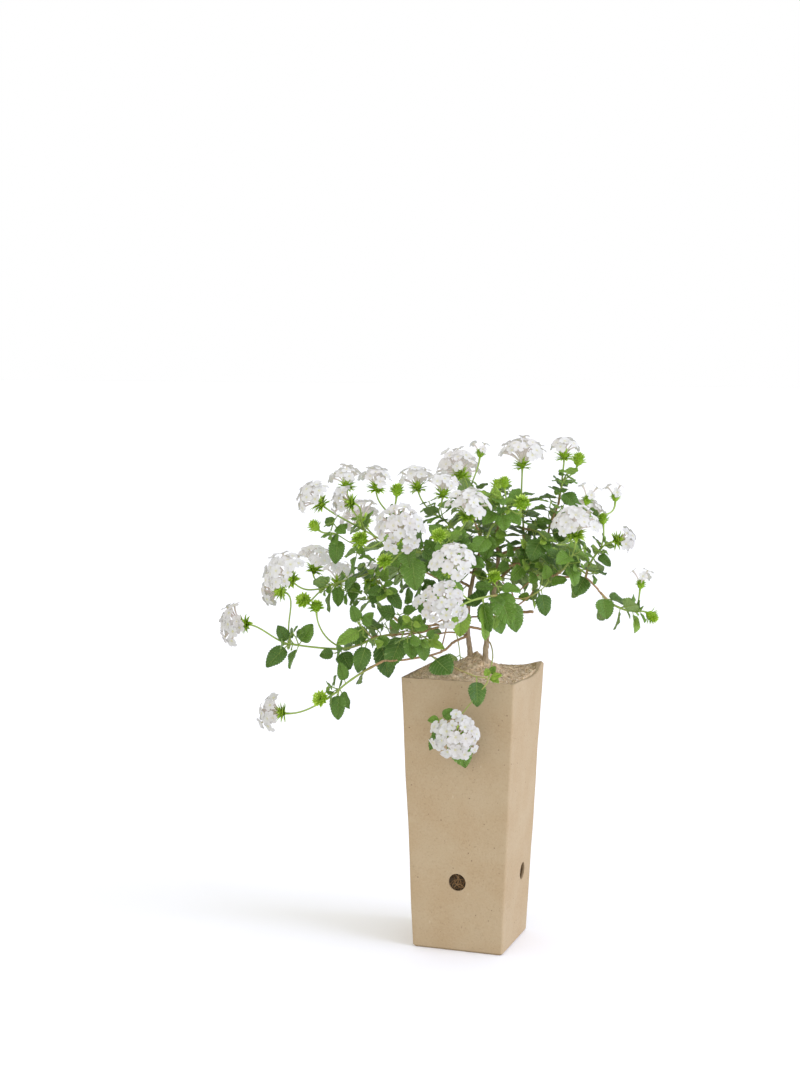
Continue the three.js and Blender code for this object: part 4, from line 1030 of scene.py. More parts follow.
SPRAYS["right_outer_crown"] = Spray(
    [Shoot([(60, 1, 338), (70, -4, 336), (80, -8, 338), (88, -8, 341)], 3, 16)],
    [Head(0, 0.7, (84, -28, 354), (0.3, -0.1, 1), 13, few=3),
     Head(0, 1, (112, 18, 353), (0, 0, 1), 11, few=3)],
)
SPRAYS["right_middle"] = Spray(
    [Shoot([(61, -20, 297), (67, -34, 304), (71, -44, 312), (73, -48, 318)], 3, 18)],
    [Head(0, 1, (73, -62, 333), (-0.1, -0.35, 0.93), 19)],
    [SetLeaf(0, 0.61, (-0.82, -0.32, 0.48), (0, -0.7, 0.7), 17, 0.8)],
)
SPRAYS["right_outer"] = Spray(
    [Shoot([(85, -25, 296), (88, -22, 306), (93, -20, 314), (97, -19, 319)], 3, 17)],
    [Head(0, 1, (100, -8, 337), (-0.1, 0, 1)),
     Head(0, 0.8, (106, -42, 327), (0.85, -0.3, 0.2), 11)],
    [SetLeaf(0, 0.12, (-0.45, -0.5, -0.74), (0, -0.9, 0.5), 17, 1.05),
     SetLeaf(0, 0.76, (0.64, -0.51, -0.57), (0, -0.8, 0.6), 13, 0.8)],
)
SPRAYS["far_right"] = Spray(
    [Shoot([(97, -25, 285), (105, -26, 277), (116, -28, 272), (124, -29, 271)], 3, 18)],
    [Head(0, 0.9, (127, -32, 289), (0.15, 0, 1), 13, few=4),
     Head(0, 1, (133, -28, 270), (0.7, -0.3, -0.5))],
    [SetLeaf(0, 0.06, (0.16, -0.5, -0.85), (0.1, -0.9, 0.4), 17, 1.05)],
)
SPRAYS["hanging_front"] = Spray(
    [Shoot([(-36, -50, 238), (-28, -54, 235), (-14, -60, 229), (-2, -66, 225), (8, -70, 223),
            (1, -69, 212), (-6, -68, 203), (-12, -66, 195), (-19, -62, 187)], 0),
     Shoot([(9, -14, 246), (12, -24, 243), (13, -38, 237), (11, -54, 230), (8, -70, 223)], 0),
     Shoot([(-19, -62, 187), (-24, -60, 189), (-28, -60, 191)], 0)],
    [Head(0, 1, (-15.5, -66, 178.5), (-0.05, -0.95, 0.1), 20)],
    [SetLeaf(0, 0.03, (0.58, -0.7, -0.42), (0.1, -1, 0.25), 19, 1.3, tint=0.02),
     SetLeaf(0, 0.39, (0.04, -0.33, -0.94), (0.15, -1, 0.2), 19, 0.9, tint=0.14),
     SetLeaf(1, 0.97, (0.9, -0.3, 0.35), (-0.3, -0.8, 1), 9, tint=0.75),
     SetLeaf(1, 0.95, (-0.3, -0.5, 0.9), (0, -1, 0.2), 7, tint=0.7),
     SetLeaf(1, 0.93, (0.8, -0.5, -0.4), (0.2, -0.8, 0.8), 8, tint=0.75),
     SetLeaf(1, 0.9, (0.5, -0.3, 0.8), (0.2, -0.9, 0.6), 7, tint=0.7),
     SetLeaf(2, 0.84, (-0.98, -0.19, -0.04), (0, -0.8, 0.7), 9, tint=0.6),
     SetLeaf(2, 0.92, (0.76, -0.3, 0.57), (0, -1, 0.3), 11, tint=0.5),
     SetLeaf(2, 0.5, (-0.41, 0.07, -0.91), (0.4, -0.9, 0.1), 22, 0.65, tint=0.35),
     SetLeaf(0, 0.97, (0.24, 0.22, -0.95), (0.1, -1, -0.2), 34, 0.7, tint=0.3)],
)
SPRAYS["left_low_cluster"] = Spray(
    [Shoot([(-62, -24, 250), (-70, -34, 251), (-80, -41, 249), (-88, -45, 246)], 1, 20),
     Shoot([(-62, -24, 250), (-56, -38, 255), (-46, -48, 255), (-38, -52, 251)], 0),
     Shoot([(-80, -41, 249), (-87, -44, 257), (-92, -45, 262)], 0)],
    [],
    [SetLeaf(0, 0.85, (-0.3, -0.35, -0.89), (-0.3, -0.9, 0.3), 21, 0.85, tint=0.25),
     SetLeaf(0, 0.5, (0.24, -0.1, -0.97), (0.1, -0.9, 0.4), 27, 0.8, tint=0.02),
     SetLeaf(1, 0.33, (-0.36, -0.47, -0.81), (-0.2, -0.9, 0.4), 27, 0.8, tint=0.2),
     SetLeaf(1, 0.53, (0.02, -0.45, -0.89), (0.1, -0.9, 0.4), 18, 0.95, tint=0.35),
     SetLeaf(1, 0.76, (0.19, -0.33, -0.93), (0.2, -0.9, 0.4), 17, 0.9, tint=0.3),
     SetLeaf(1, 0.9, (0.83, -0.35, -0.43), (-0.5, -0.9, 0.3), 15, 0.6, tint=0.8),
     SetLeaf(1, 0.43, (-0.01, -0.58, 0.81), (0, -0.9, 0.6), 13, 0.8, tint=0.6),
     SetLeaf(1, 0.57, (0.33, -0.33, 0.89), (0.2, -0.9, 0.6), 13, 0.8, tint=0.6),
     SetLeaf(2, 0.55, (-0.84, -0.33, -0.43), (0, -0.9, 0.6), 20, 0.7, tint=0.6),
     SetLeaf(2, 0.83, (-0.36, -0.2, 0.91), (0, -0.9, 0.5), 14, 0.85, tint=0.4),
     SetLeaf(2, 0.79, (0.69, -0.09, 0.71), (0, -0.9, 0.5), 12, 0.85, tint=0.5)],
)
SPRAYS["back_left"] = Spray(
    [Shoot([(-42, 58, 292), (-54, 74, 300), (-66, 86, 306), (-74, 92, 308)], 3, 21)],
    [Head(0, 1, (-90, 102, 326), (-0.5, 0.5, 0.7), 18),
     Head(0, 0.6, (-46, 98, 318), (0.2, 0.5, 0.8))],
)
SPRAYS["back"] = Spray(
    [Shoot([(0, 55, 334), (-2, 70, 341), (-4, 82, 344), (-6, 90, 345)], 3, 21)],
    [Head(0, 1, (-8, 104, 364), (0, 0.5, 0.85), 17),
     Head(0, 0.6, (20, 88, 356), (0.3, 0.4, 0.9))],
)
SPRAYS["back_right"] = Spray(
    [Shoot([(52, 58, 306), (64, 72, 311), (76, 82, 312), (84, 88, 311)], 3, 21),
     Shoot([(62, 69, 310), (78, 52, 302), (92, 44, 292)], 2, 21)],
    [Head(0, 0.9, (94, 102, 330), (0.5, 0.5, 0.6), 17)],
)
SPRAYS["back_low"] = Spray(
    [Shoot([(-24, 22, 252), (-20, 46, 252), (-14, 68, 243), (-10, 82, 228), (-8, 88, 214),
            (-7, 91, 200)], 0)],
    [Head(0, 1, (-7, 95, 184), (0, 0.7, -0.2))],
    [SetLeaf(0, 0.76, (-0.85, 0.3, -0.45), (-0.2, 0.8, 0.5), 16),
     SetLeaf(0, 0.78, (0.85, 0.3, -0.45), (0.2, 0.8, 0.5), 16),
     SetLeaf(0, 0.9, (0.75, 0.5, -0.4), (0.2, 0.8, 0.5), 17),
     SetLeaf(0, 0.92, (-0.75, 0.5, -0.4), (-0.2, 0.8, 0.5), 17),
     SetLeaf(0, 0.97, (0.2, 0.8, -0.55), (0, 0.6, 0.8), 14)],
)


# Curves


class Curve:
    """A line through space, walked by a share from 0 to 1."""

    def point(self, share: float) -> Array:
        """The place at a share of the line."""
        raise NotImplementedError

    def course(self, share: float) -> Array:
        """The direction at a share of the line."""
        near = 0.01
        return unit(self.point(min(1.0, share + near)) - self.point(max(0.0, share - near)))

    def points(self, steps: int, low: float = 0, high: float = 1) -> Array:
        """Evenly shared points from low to high."""
        return np.array([self.point(share) for share in np.linspace(low, high, steps + 1)])

    def length(self) -> float:
        """The length of the line."""
        steps = np.diff(self.points(24), axis=0)
        return float(np.linalg.norm(steps, axis=1).sum())


class Smooth(Curve):
    """A smooth curve through waypoints."""

    def __init__(self, path: list[Place]) -> None:
        """Keeps the waypoints, with one more mirrored beyond each end.

        Args:
            path: The waypoints.
        """
        stops = [vec(place) for place in path]
        self.stops = [2 * stops[0] - stops[1], *stops, 2 * stops[-1] - stops[-2]]
        self.steps = len(path) - 1

    def point(self, share: float) -> Array:
        """The place at a share of the curve.

        Args:
            share: How far along it, from 0 to 1.

        Returns:
            The place.
        """
        k = min(int(share * self.steps), self.steps - 1)
        t = share * self.steps - k
        before, start, end, after = self.stops[k : k + 4]
        leave, arrive = 0.5 * (end - before), 0.5 * (after - start)
        bend = -3 * start + 3 * end - 2 * leave - arrive
        twist = 2 * start - 2 * end + leave + arrive
        return start + leave * t + bend * t * t + twist * t**3


class Bent(Curve):
    """A shoot's line, straight between its waypoints, on which the feet of its leaves are set."""

    def __init__(self, path: list[Place]) -> None:
        """Keeps the waypoints."""
        self.stops = [vec(place) for place in path]
        self.steps = len(path) - 1

    def point(self, share: float) -> Array:
        """The place at a share of the line.

        Args:
            share: How far along it, from 0 to 1.

        Returns:
            The place.
        """
        place = share * self.steps
        k = min(int(place), self.steps - 1)
        return self.stops[k] + (self.stops[k + 1] - self.stops[k]) * (place - k)


class Stalk(Curve):
    """A head's stalk: it leaves its shoot along it and reaches the head along its facing."""

    def __init__(self, shoot: Curve, head: Head) -> None:
        """Sets the four stops of the bend.

        Args:
            shoot: The shoot that it leaves.
            head: The head that it bears.
        """
        start, at = shoot.point(head.share), vec(head.at)
        reach = float(np.linalg.norm(at - start))
        leave = unit(shoot.course(head.share) + unit(at - start))
        arrive = unit(vec(head.face))
        self.stops = (start, start + 0.35 * reach * leave, at - 0.35 * reach * arrive, at)

    def point(self, share: float) -> Array:
        """The place at a share of the stalk.

        Args:
            share: How far along it, from 0 to 1.

        Returns:
            The place.
        """
        rest = 1 - share
        weights = (rest**3, 3 * rest * rest * share, 3 * rest * share * share, share**3)
        return sum(weight * stop for weight, stop in zip(weights, self.stops))


# Leaves


def within(value: float) -> float:
    """A value held between 0 and 1."""
    return min(1.0, max(0.0, value))


def leaf_spread(share: Array) -> Array:
    """Half the blade's width at a share of its length, as a share of its greatest half width."""
    return np.maximum(0, np.sin(np.pi * np.asarray(share, float) ** 0.62)) ** 0.8


@dataclass
class Leaf:
    """One leaf: its foot, its three directions and the sizes and bends of its blade.

    Its shift is the step from the straight line of its shoot to the smooth one.
    """

    foot: Array
    way: Array
    normal: Array
    long: float
    stalk: float
    fold: float
    arch: float
    width: float
    owner: str
    tint: float = 0
    shift: Array = field(default_factory=lambda: np.zeros(3))
    side: Array = field(init=False)

    def __post_init__(self) -> None:
        """Works out the direction across the blade."""
        self.side = cross(self.way, self.normal)

    def at(self, along: Array, aside: Array, lift: Array | float = 0) -> Array:
        """Points of the blade, along it from 0 to 1 and aside of its midrib in half widths.

        Args:
            along: How far along the blade, from 0 to 1.
            aside: How far aside of its midrib, in half widths.
            lift: How far above the blade.

        Returns:
            The points.
        """
        along, aside = np.asarray(along, float), np.asarray(aside, float)
        half = 0.5 * self.width * aside
        rise = self.fold * np.abs(half) - self.arch * self.long * along * along + lift
        out = self.foot + np.multiply.outer(self.stalk + self.long * along, self.way)
        return out + np.multiply.outer(half, self.side) + np.multiply.outer(rise, self.normal)

    def beads(self) -> tuple[Array, float]:
        """Twelve places on the blade and the room round each."""
        along, aside = np.repeat((0.1, 0.36, 0.62, 0.88), 3), np.tile((-0.3, 0, 0.3), 4)
        return self.at(along, 2 * aside * leaf_spread(along)), 0.17 * self.width


def soil_height(x: Array, y: Array) -> Array:
    """The height of the compost in the pot's own frame: level, with a mound and a bank.

    Args:
        x: The places across the pot.
        y: The places from its front to its back.

    Returns:
        The heights.
    """
    broad = 7 * np.exp(-((x + 6) ** 2 + y**2) / 34**2)
    mound = 11 * np.exp(-((x - 4) ** 2 + (y + 4) ** 2) / 15**2)
    bank = SOIL_BANK * np.exp(-((x - 44) ** 2 + (y - 44) ** 2) / 15**2)
    rough = 0.8 * np.sin(x * 0.31 + 1) * np.cos(y * 0.27) + 0.5 * np.sin(x * 0.7 - y * 0.55)
    return SOIL_LEVEL + broad + mound + bank + rough


def pot_half(z: Array | float) -> Array | float:
    """Half the pot's width at a height."""
    return 0.5 * (POT_BASE + (POT_TOP - POT_BASE) * z / POT_HEIGHT)


def in_pot(at: Array, room: float) -> bool:
    """Whether any of some places, with room round them, is in the pot or its compost.

    Args:
        at: The places.
        room: How much room to leave round each.

    Returns:
        Whether one of them is.
    """
    c, s = math.cos(PLANT_TURN), math.sin(PLANT_TURN)
    x, y, z = at[:, 0] * c - at[:, 1] * s, at[:, 0] * s + at[:, 1] * c, at[:, 2]
    half = pot_half(np.minimum(z, POT_HEIGHT)) + room + 1
    over = (np.abs(x) <= half) & (np.abs(y) <= half)
    return bool((over & (z < np.maximum(POT_HEIGHT + 1, soil_height(x, y)) + room + 1)).any())


class Beads:
    """Places that already hold something, so that a leaf can be bent clear of them."""

    most: int = 60000
    step: float = 4
    clear: float = 0.9
    # How far from its foot a leaf may touch its own stem, and how far out the widest place reaches
    own_stem: float = 7
    widest: float = 26

    def __init__(self) -> None:
        """Starts with nothing in the bush."""
        self.at = np.zeros((self.most, 3))
        self.radius = np.zeros(self.most)
        self.owner = np.zeros(self.most, int)
        self.stem = np.zeros(self.most, bool)
        self.owners: dict[str, int] = {}
        self.count = 0

    def mark(self, owner: str) -> int:
        """The number that stands for an owner."""
        return self.owners.setdefault(owner, len(self.owners))

    def add(self, at: Array, radius: float | Array, owner: str, stem: bool = False) -> None:
        """Adds places that an owner holds.

        Args:
            at: The places.
            radius: How much room each takes.
            owner: The piece that holds them.
            stem: Whether they lie along a stem.
        """
        block = slice(self.count, self.count + len(at))
        self.at[block], self.radius[block] = at, radius
        self.owner[block], self.stem[block] = self.mark(owner), stem
        self.count += len(at)

    def string(self, curve: Curve, radii: tuple[float, float], owner: str) -> None:
        """Adds the places along a stem.

        Args:
            curve: The stem.
            radii: Its radius at its foot and at its tip.
            owner: The piece that holds them.
        """
        steps = math.ceil(curve.length() / self.step)
        radius = radii[0] + (radii[1] - radii[0]) * np.arange(steps + 1) / steps
        self.add(curve.points(steps), radius, owner, True)

    def crowded(self, leaf: Leaf, clear: float | None = None) -> bool:
        """Whether a leaf would come too close to what is there or to the pot.

        Args:
            leaf: The leaf.
            clear: The room to leave, if not the usual one.

        Returns:
            Whether it would.
        """
        own, room = leaf.beads()
        far = ((self.at[: self.count] - leaf.foot) ** 2).sum(1)
        mine = self.stem[: self.count] & (self.owner[: self.count] == self.mark(leaf.owner))
        foot = mine & (far < (leaf.stalk + self.own_stem) ** 2)
        kept = ~foot & (far < (leaf.stalk + 1.2 * leaf.long + self.widest) ** 2)
        at, radius = self.at[: self.count][kept], self.radius[: self.count][kept]
        apart = room + radius + (self.clear if clear is None else clear)
        gaps = ((own[:, None] - at[None]) ** 2).sum(2)
        return bool((gaps < apart**2).any()) or in_pot(own, room)


@dataclass
class Twig:
    """A short side twig with a pair or two of small leaves."""

    curve: Curve
    leaves: list[Leaf]


@dataclass
class Layout:
    """Where every leaf of the plant is: the large ones as the solids have them, then the small ones."""

    # The turns in degrees that a leaf tries, one after another, to find room
    tries: tuple[float, ...] = (0, 24, -24, 48, -48, 76, -76, 110, -110)
    set_fold: float = 0.18
    set_arch: float = 0.08
    tight: float = 0.1
    bud_room: float = 5.5
    twig_spacing: float = 4.5
    # The share of the leaves with a twig in their axil, and the length of blade up to which a leaf is young
    twig_share: float = 0.75
    young_blade: float = 13
    # The space under the crown in which few twigs stand: from and to across it, and its height, which
    # changes at a step; most twigs are left out in its top band, and all below that
    open_left: float = -35
    open_right: float = 108
    open_step: float = 55
    open_high: float = 292
    open_high_right: float = 304
    open_band: float = 18
    open_share: float = 0.75
    # The wood that bears no twig: up to where, and how low it is still so at the left
    bare_high: float = 250
    bare_band: float = 12
    bare_left: float = -62
    bare_low: float = 242
    bare_share: float = 0.35

    def __post_init__(self) -> None:
        """Strings the stems and heads with beads and lays out the large leaves."""
        self.beads = Beads()
        self.shoots = {name: [Bent(shoot.path) for shoot in spray.shoots] for name, spray in SPRAYS.items()}
        for trunk in TRUNKS.values():
            for branch in trunk:
                self.beads.string(Smooth(branch.path), branch.radii, "wood")
        for name, spray in SPRAYS.items():
            for curve in self.shoots[name]:
                self.beads.string(curve, (1, 0.8), name)
            for head in spray.heads:
                radius, lift = (head.reach, 0.4 * head.reach) if head.reach else (self.bud_room, 3)
                self.beads.string(Stalk(self.shoots[name][head.shoot], head), (0.7, 0.7), name)
                at = vec(head.at) + lift * unit(vec(head.face))
                self.beads.add(at[None], 0.95 * radius, "head")
        self.leaves = {name: self.set_by_hand(name, spray) for name, spray in SPRAYS.items()}
        for index, (name, spray) in enumerate(SPRAYS.items()):
            self.pairs(name, spray, Seed.LEAF_PAIRS.dice(index))
        self.twigs: dict[str, list[Twig]] = {}

    def grow_leaf(
        self,
        curve: Curve,
        share: float,
        quarter: float,
        long: float,
        owner: str,
        roll: Dice,
        clear: float | None = None,
    ) -> Leaf | None:
        """Sets one leaf of a pair at a node, bent clear of what is already there.

        Args:
            curve: The shoot.
            share: Where the node is on it.
            quarter: The direction round the shoot in degrees.
            long: The length of a blade at that node.
            owner: The piece that it belongs to.
            roll: The random draws.
            clear: The least room to leave, on a small leaf.

        Returns:
            The leaf, or None if there is no room for it.
        """
        foot, course = curve.point(share), curve.course(share)
        up = vec((0, 0, 1))
        level = unit(cross(course, up))
        outward = unit(foot - vec(BUSH_CENTRE))
        lean, droop, skew = roll(0.25, 0.65), roll(0.05, 0.55), roll(-0.3, 0.3)
        length = long * roll(0.86, 1.1)
        fold, arch = roll(0.12, 0.4), roll(0.05, 0.24)
        width = length * LEAF_WIDTH * roll(0.92, 1.06)
        lift = 0.8 if clear is None else 0.45
        for degrees in self.tries:
            aside = turned(level, course, math.radians(quarter + degrees))
            way = unit(aside + course * lean - up * droop)
            light = up * lift + outward * (1.55 - lift) + cross(way, up) * skew
            normal = unit(square(light, way))
            leaf = Leaf(foot, way, normal, length, length * PETIOLE, fold, arch, width, owner)
            if not self.beads.crowded(leaf, clear):
                return leaf
        return None

    def keep(self, leaf: Leaf | None, tint: float, kept: list[Leaf]) -> None:
        """Adds a leaf, if there is one, to the bush and to a list.

        Args:
            leaf: The leaf, or None.
            tint: How fresh its green is.
            kept: The list.
        """
        if leaf:
            leaf.tint = tint
            kept.append(leaf)
            self.beads.add(*leaf.beads(), leaf.owner)

    def set_by_hand(self, name: str, spray: Spray) -> list[Leaf]:
        """Sets the listed leaves of one spray.

        Args:
            name: The spray's name.
            spray: The spray's place in the plan.

        Returns:
            The leaves.
        """
        found: list[Leaf] = []
        for own in spray.leaves:
            foot, way = self.shoots[name][own.shoot].point(own.share), unit(vec(own.way))
            normal = unit(square(vec(own.light), way))
            width, stalk = own.long * LEAF_WIDTH * own.wide, own.long * PETIOLE
            leaf = Leaf(foot, way, normal, own.long, stalk, self.set_fold, self.set_arch, width, name)
            leaf.shift = Smooth(spray.shoots[own.shoot].path).point(own.share) - foot
            usual = 0.6 if own.long < self.young_blade else 0.25
            self.keep(leaf, usual if own.tint is None else own.tint, found)
        return found

    def pairs(self, name: str, spray: Spray, roll: Dice) -> None:
        """Lays out the leaf pairs of one spray.

        Args:
            name: The spray's name.
            spray: The spray's place in the plan.
            roll: The random draws.
        """
        shade = Seed.SHADES.dice(len(name))
        for shoot, curve in zip(spray.shoots, self.shoots[name]):
            for pair in range(shoot.pairs):
                share = (pair + 0.55) / (shoot.pairs - 0.2)
                long = shoot.leaf * (1 - 0.28 * (pair / shoot.pairs) ** 2)
                quarter = 90 * (pair % 2) + roll(-18, 18)
                for half in (0, 180):
                    leaf = self.grow_leaf(curve, share, quarter + half, long, name, roll)
                    if leaf:
                        leaf.shift = Smooth(shoot.path).point(share) - curve.point(share)
                        self.keep(leaf, shade(0.0, 0.4) + 0.45 * share**2, self.leaves[name])

    def settle(self) -> None:
        """Moves each large leaf from the straight line of its shoot on to the smooth one."""
        for leaves in self.leaves.values():
            for leaf in leaves:
                leaf.foot = leaf.foot + leaf.shift

    def grow_twig(
        self, foot: Array, way: Array, long: float, owner: str, blade: float, roll: Dice
    ) -> Twig | None:
        """Grows a short twig with small leaves.

        Args:
            foot: Where it leaves its stem.
            way: The direction in which it leaves.
            long: Its length.
            owner: The piece that it belongs to.
            blade: The length of its largest blades.
            roll: The random draws.

        Returns:
            The twig, or None if there is no room for a leaf on it.
        """
        rise = unit(way + vec((roll(-0.3, 0.3), roll(-0.3, 0.3), roll(0.0, 0.45))))
        curve = Smooth([tuple(foot), tuple(foot + 0.55 * long * unit(way)), tuple(foot + long * rise)])
        kept: list[Leaf] = []
        quarter = roll(0, 180)
        for pair, share in enumerate((0.62, 0.97) if long > 7 else (0.97,)):
            size = blade * (1 - 0.3 * pair)
            for side in (90 * pair, 90 * pair + 180):
                grown = self.grow_leaf(curve, share, quarter + side, size, owner, roll, self.tight)
                self.keep(grown, roll(0.25, 0.6) + 0.25 * pair, kept)
        if not kept:
            return None
        self.beads.string(curve, (0.5, 0.4), owner)
        return Twig(curve, kept)

    def open_below(self, foot: Array, roll: Dice) -> bool:
        """Whether a twig would stand in the open space under the crown, where few do.

        Args:
            foot: The twig's foot.
            roll: The random draws.

        Returns:
            Whether it stands there and is left out.
        """
        few = roll(0, 1) < self.open_share
        high = self.open_high if foot[0] < self.open_step else self.open_high_right
        inside = self.open_left < foot[0] < self.open_right
        return inside and (foot[2] < high - self.open_band or foot[2] < high and few)

    def tuft(self, curve: Curve, name: str, roll: Dice) -> Twig:
        """The two pairs of young leaves at the tip of a shoot.

        Args:
            curve: The shoot.
            name: The spray's name.
            roll: The random draws.

        Returns:
            The tuft, as a twig.
        """
        kept: list[Leaf] = []
        for pair, (share, size) in enumerate(((0.93, 10.5), (1.0, 7))):
            quarter = 90 * pair + 30 + roll(-20, 20)
            for half in (0, 180):
                grown = self.grow_leaf(curve, share, quarter + half, size, name, roll, self.tight)
                self.keep(grown, roll(0.6, 0.95), kept)
        return Twig(curve, kept)

    def fill_spray(self, name: str, spray: Spray, roll: Dice) -> None:
        """Adds the small leaves of one spray: tufts at the tips and twigs in the axils.

        Args:
            name: The spray's name.
            spray: The spray's place in the plan.
            roll: The random draws.
        """
        leafy = [shoot for shoot in spray.shoots if shoot.pairs]
        found: list[Twig | None] = [self.tuft(Smooth(shoot.path), name, roll) for shoot in leafy]
        for leaf in self.leaves[name]:
            if leafy and roll(0, 1) < self.twig_share and not self.open_below(leaf.foot, roll):
                way = unit(leaf.way * 0.5 + unit(leaf.foot - vec(BUSH_CENTRE)) * 0.5 + vec((0, 0, 0.35)))
                found.append(self.grow_twig(leaf.foot, way, roll(4, 13), name, roll(8, 13), roll))
        self.twigs[name] = [twig for twig in found if twig]

    def bare(self, foot: Array, roll: Dice) -> bool:
        """Whether the wood bears no twig at a place: low down, and now and then elsewhere.

        Args:
            foot: The twig's foot.
            roll: The random draws.

        Returns:
            Whether it is left out.
        """
        low = foot[2] < self.bare_high + roll(0, self.bare_band)
        if low and (foot[0] > self.bare_left or foot[2] < self.bare_low):
            return True
        if self.open_below(foot, roll):
            return True
        return bool(foot[2] < self.open_high and roll(0, 1) < self.bare_share)

    def fill_wood(self, name: str, trunk: list[Branch], roll: Dice) -> None:
        """Adds the leafy twigs on the wood of one trunk.

        Args:
            name: The trunk's name.
            trunk: Its branches.
            roll: The random draws.
        """
        owner = f"wood_{name}"
        found = [
            self.grow_twig(vec(foot), unit(vec(way)), long, owner, blade, roll)
            for foot, way, long, blade in LEAFY_TWIGS[name]
        ]
        for branch in trunk:
            curve = Smooth(branch.path)
            steps = int(curve.length() / self.twig_spacing)
            for k in range(1, steps):
                share = (k + roll(-0.3, 0.3)) / steps
                foot = curve.point(share)
                if self.bare(foot, roll):
                    continue
                frame = ring_frame(curve.course(share))
                way = unit(spoke(frame, roll(0, 2 * math.pi)) + 0.4 * frame[0])
                found.append(self.grow_twig(foot, way, roll(8, 24), owner, roll(11, 16), roll))
        self.twigs[owner] = [twig for twig in found if twig]

    def fill(self) -> None:
        """Adds the small leaves of the sprays, and then those on the wood."""
        for index, (name, spray) in enumerate(SPRAYS.items()):
            self.fill_spray(name, spray, Seed.SPRAY_TWIGS.dice(index))
        for index, (name, trunk) in enumerate(TRUNKS.items()):
            self.fill_wood(name, trunk, Seed.WOOD_TWIGS.dice(index))


@dataclass
class LeafMaker:
    """Builds toothed leaves, puffed between their veins, with a petiole and a rib beneath."""

    skin: Skin
    roll: Dice
    teeth: int = 10
    few_teeth: int = 6
    tooth: float = 0.1
    blunt: float = 0.3
    vein_pairs: float = 7
    vein_lean: float = 0.24
    puff: float = 0.02
    groove: float = 0.022
    wave: float = 0.05
    curl: float = 0.09
    mottle: float = 0.14
    thick: float = 0.22
    rib_steps: int = 5
    # Where the points of a tooth stand along it, how far out they reach, and the rows across the blade
    fine: tuple[tuple[float, ...], ...] = ((0, 0.4, 0.75), (0, 0.75, 1), (-1, -0.66, -0.32, 0, 0.32, 0.66, 1))
    plain: tuple[tuple[float, ...], ...] = ((0, 0.65), (0, 1), (-1, -0.5, 0, 0.5, 1))

    def build(self, leaf: Leaf, large: bool = True) -> None:
        """Adds one leaf to a piece.

        Args:
            leaf: The leaf.
            large: Whether it is a large leaf, with every tooth, or a small one.
        """
        teeth = self.teeth if large else self.few_teeth
        shares, heights, asides = self.fine if large else self.plain
        along = np.array([(k + share) / teeth for k in range(teeth) for share in shares][1:])
        rim = np.array([height for _ in range(teeth) for height in heights][1:])
        aside = np.array(asides)
        blunt = 1 + self.blunt * smooth(0.45, 0.9, along)
        spread = leaf_spread(along) * blunt * (1 + self.tooth * (rim - 0.6))
        run, across = np.meshgrid(along, aside, indexing="ij")
        reach = spread[:, None] * across
        tint = within(leaf.tint + self.roll(-self.mottle, self.mottle))
        phase = (run - self.vein_lean * np.abs(across)) * self.vein_pairs
        puff = self.puff * leaf.long * (np.abs(np.sin(np.pi * phase)) - 0.6) * (1 - across**4)
        groove = -self.groove * leaf.long * np.exp(-((across / 0.16) ** 2))
        waves = self.roll(1.2, 2.2) * run + self.roll(0, 1)
        wave = self.wave * leaf.width * across**2 * np.sin(2 * np.pi * waves)
        curl = -self.roll(0.0, self.curl) * leaf.width * across**4
        lift = puff + groove + wave * np.sign(across) + curl
        upper = leaf.at(run, reach, lift)
        lower = leaf.at(run, reach, lift - self.thick * (1 - across**2) - 0.012)
        ends = leaf.at(np.array((0.0, 1.0)), np.zeros(2))
        for points, finish in ((upper, Finish.LEAF_UPPER), (lower, Finish.LEAF_UNDER)):
            faces = net(len(along), len(aside), True, True)
            if finish is Finish.LEAF_UNDER:
                faces = [block[:, ::-1] for block in faces]
            points = np.concatenate((ends[:1], points.reshape(-1, 3), ends[1:]))
            self.skin.add(points, faces, finish, blade_grain(run, across, tint))
        self.petiole(leaf, tint)

    def petiole(self, leaf: Leaf, tint: float) -> None:
        """Adds the leaf's own stalk, which runs on under the blade as its midrib.

        Args:
            leaf: The leaf.
            tint: How fresh its green is.
        """
        sag = np.array((0, 0.5, 0.85, 1.0))
        steps = self.rib_steps
        rib = np.linspace(0.05, 0.86, steps)
        reach = float(np.linalg.norm(leaf.at(0, 0) - leaf.foot))
        stalk = leaf.foot + np.multiply.outer(sag * reach, leaf.way)
        stalk -= np.multiply.outer(np.array((0, 0.12, 0.1, 0.3)) * reach * 0.3, leaf.normal)
        under = leaf.at(rib, np.zeros(steps), -self.thick - 0.15 - 0.02 * leaf.long)
        thick = np.clip(0.026 * leaf.long, 0.24, 0.62)
        radii = thick * np.concatenate(((1.25, 1.0, 0.9, 0.9), np.linspace(0.75, 0.25, steps)))
        count = len(radii)
        look = np.broadcast_to((0, 0.35 + 0.6 * tint), (count, 2))
        shade = np.column_stack((np.linspace(0, 1, count), look))
        tube(self.skin, np.concatenate((stalk, under)), radii, 5, Finish.STEM, shade)

    def dress(self, twigs: list[Twig]) -> None:
        """Adds short twigs and their small leaves.

        Args:
            twigs: The twigs.
        """
        steps = 5
        grain = np.linspace((0, 0.5, 0.4), (0, 0, 0.9), steps + 1)
        radii = np.linspace(0.55, 0.42, steps + 1)
        for twig in twigs:
            tube(self.skin, twig.curve.points(steps), radii, 5, Finish.STEM, grain)
            for leaf in twig.leaves:
                self.build(leaf, False)


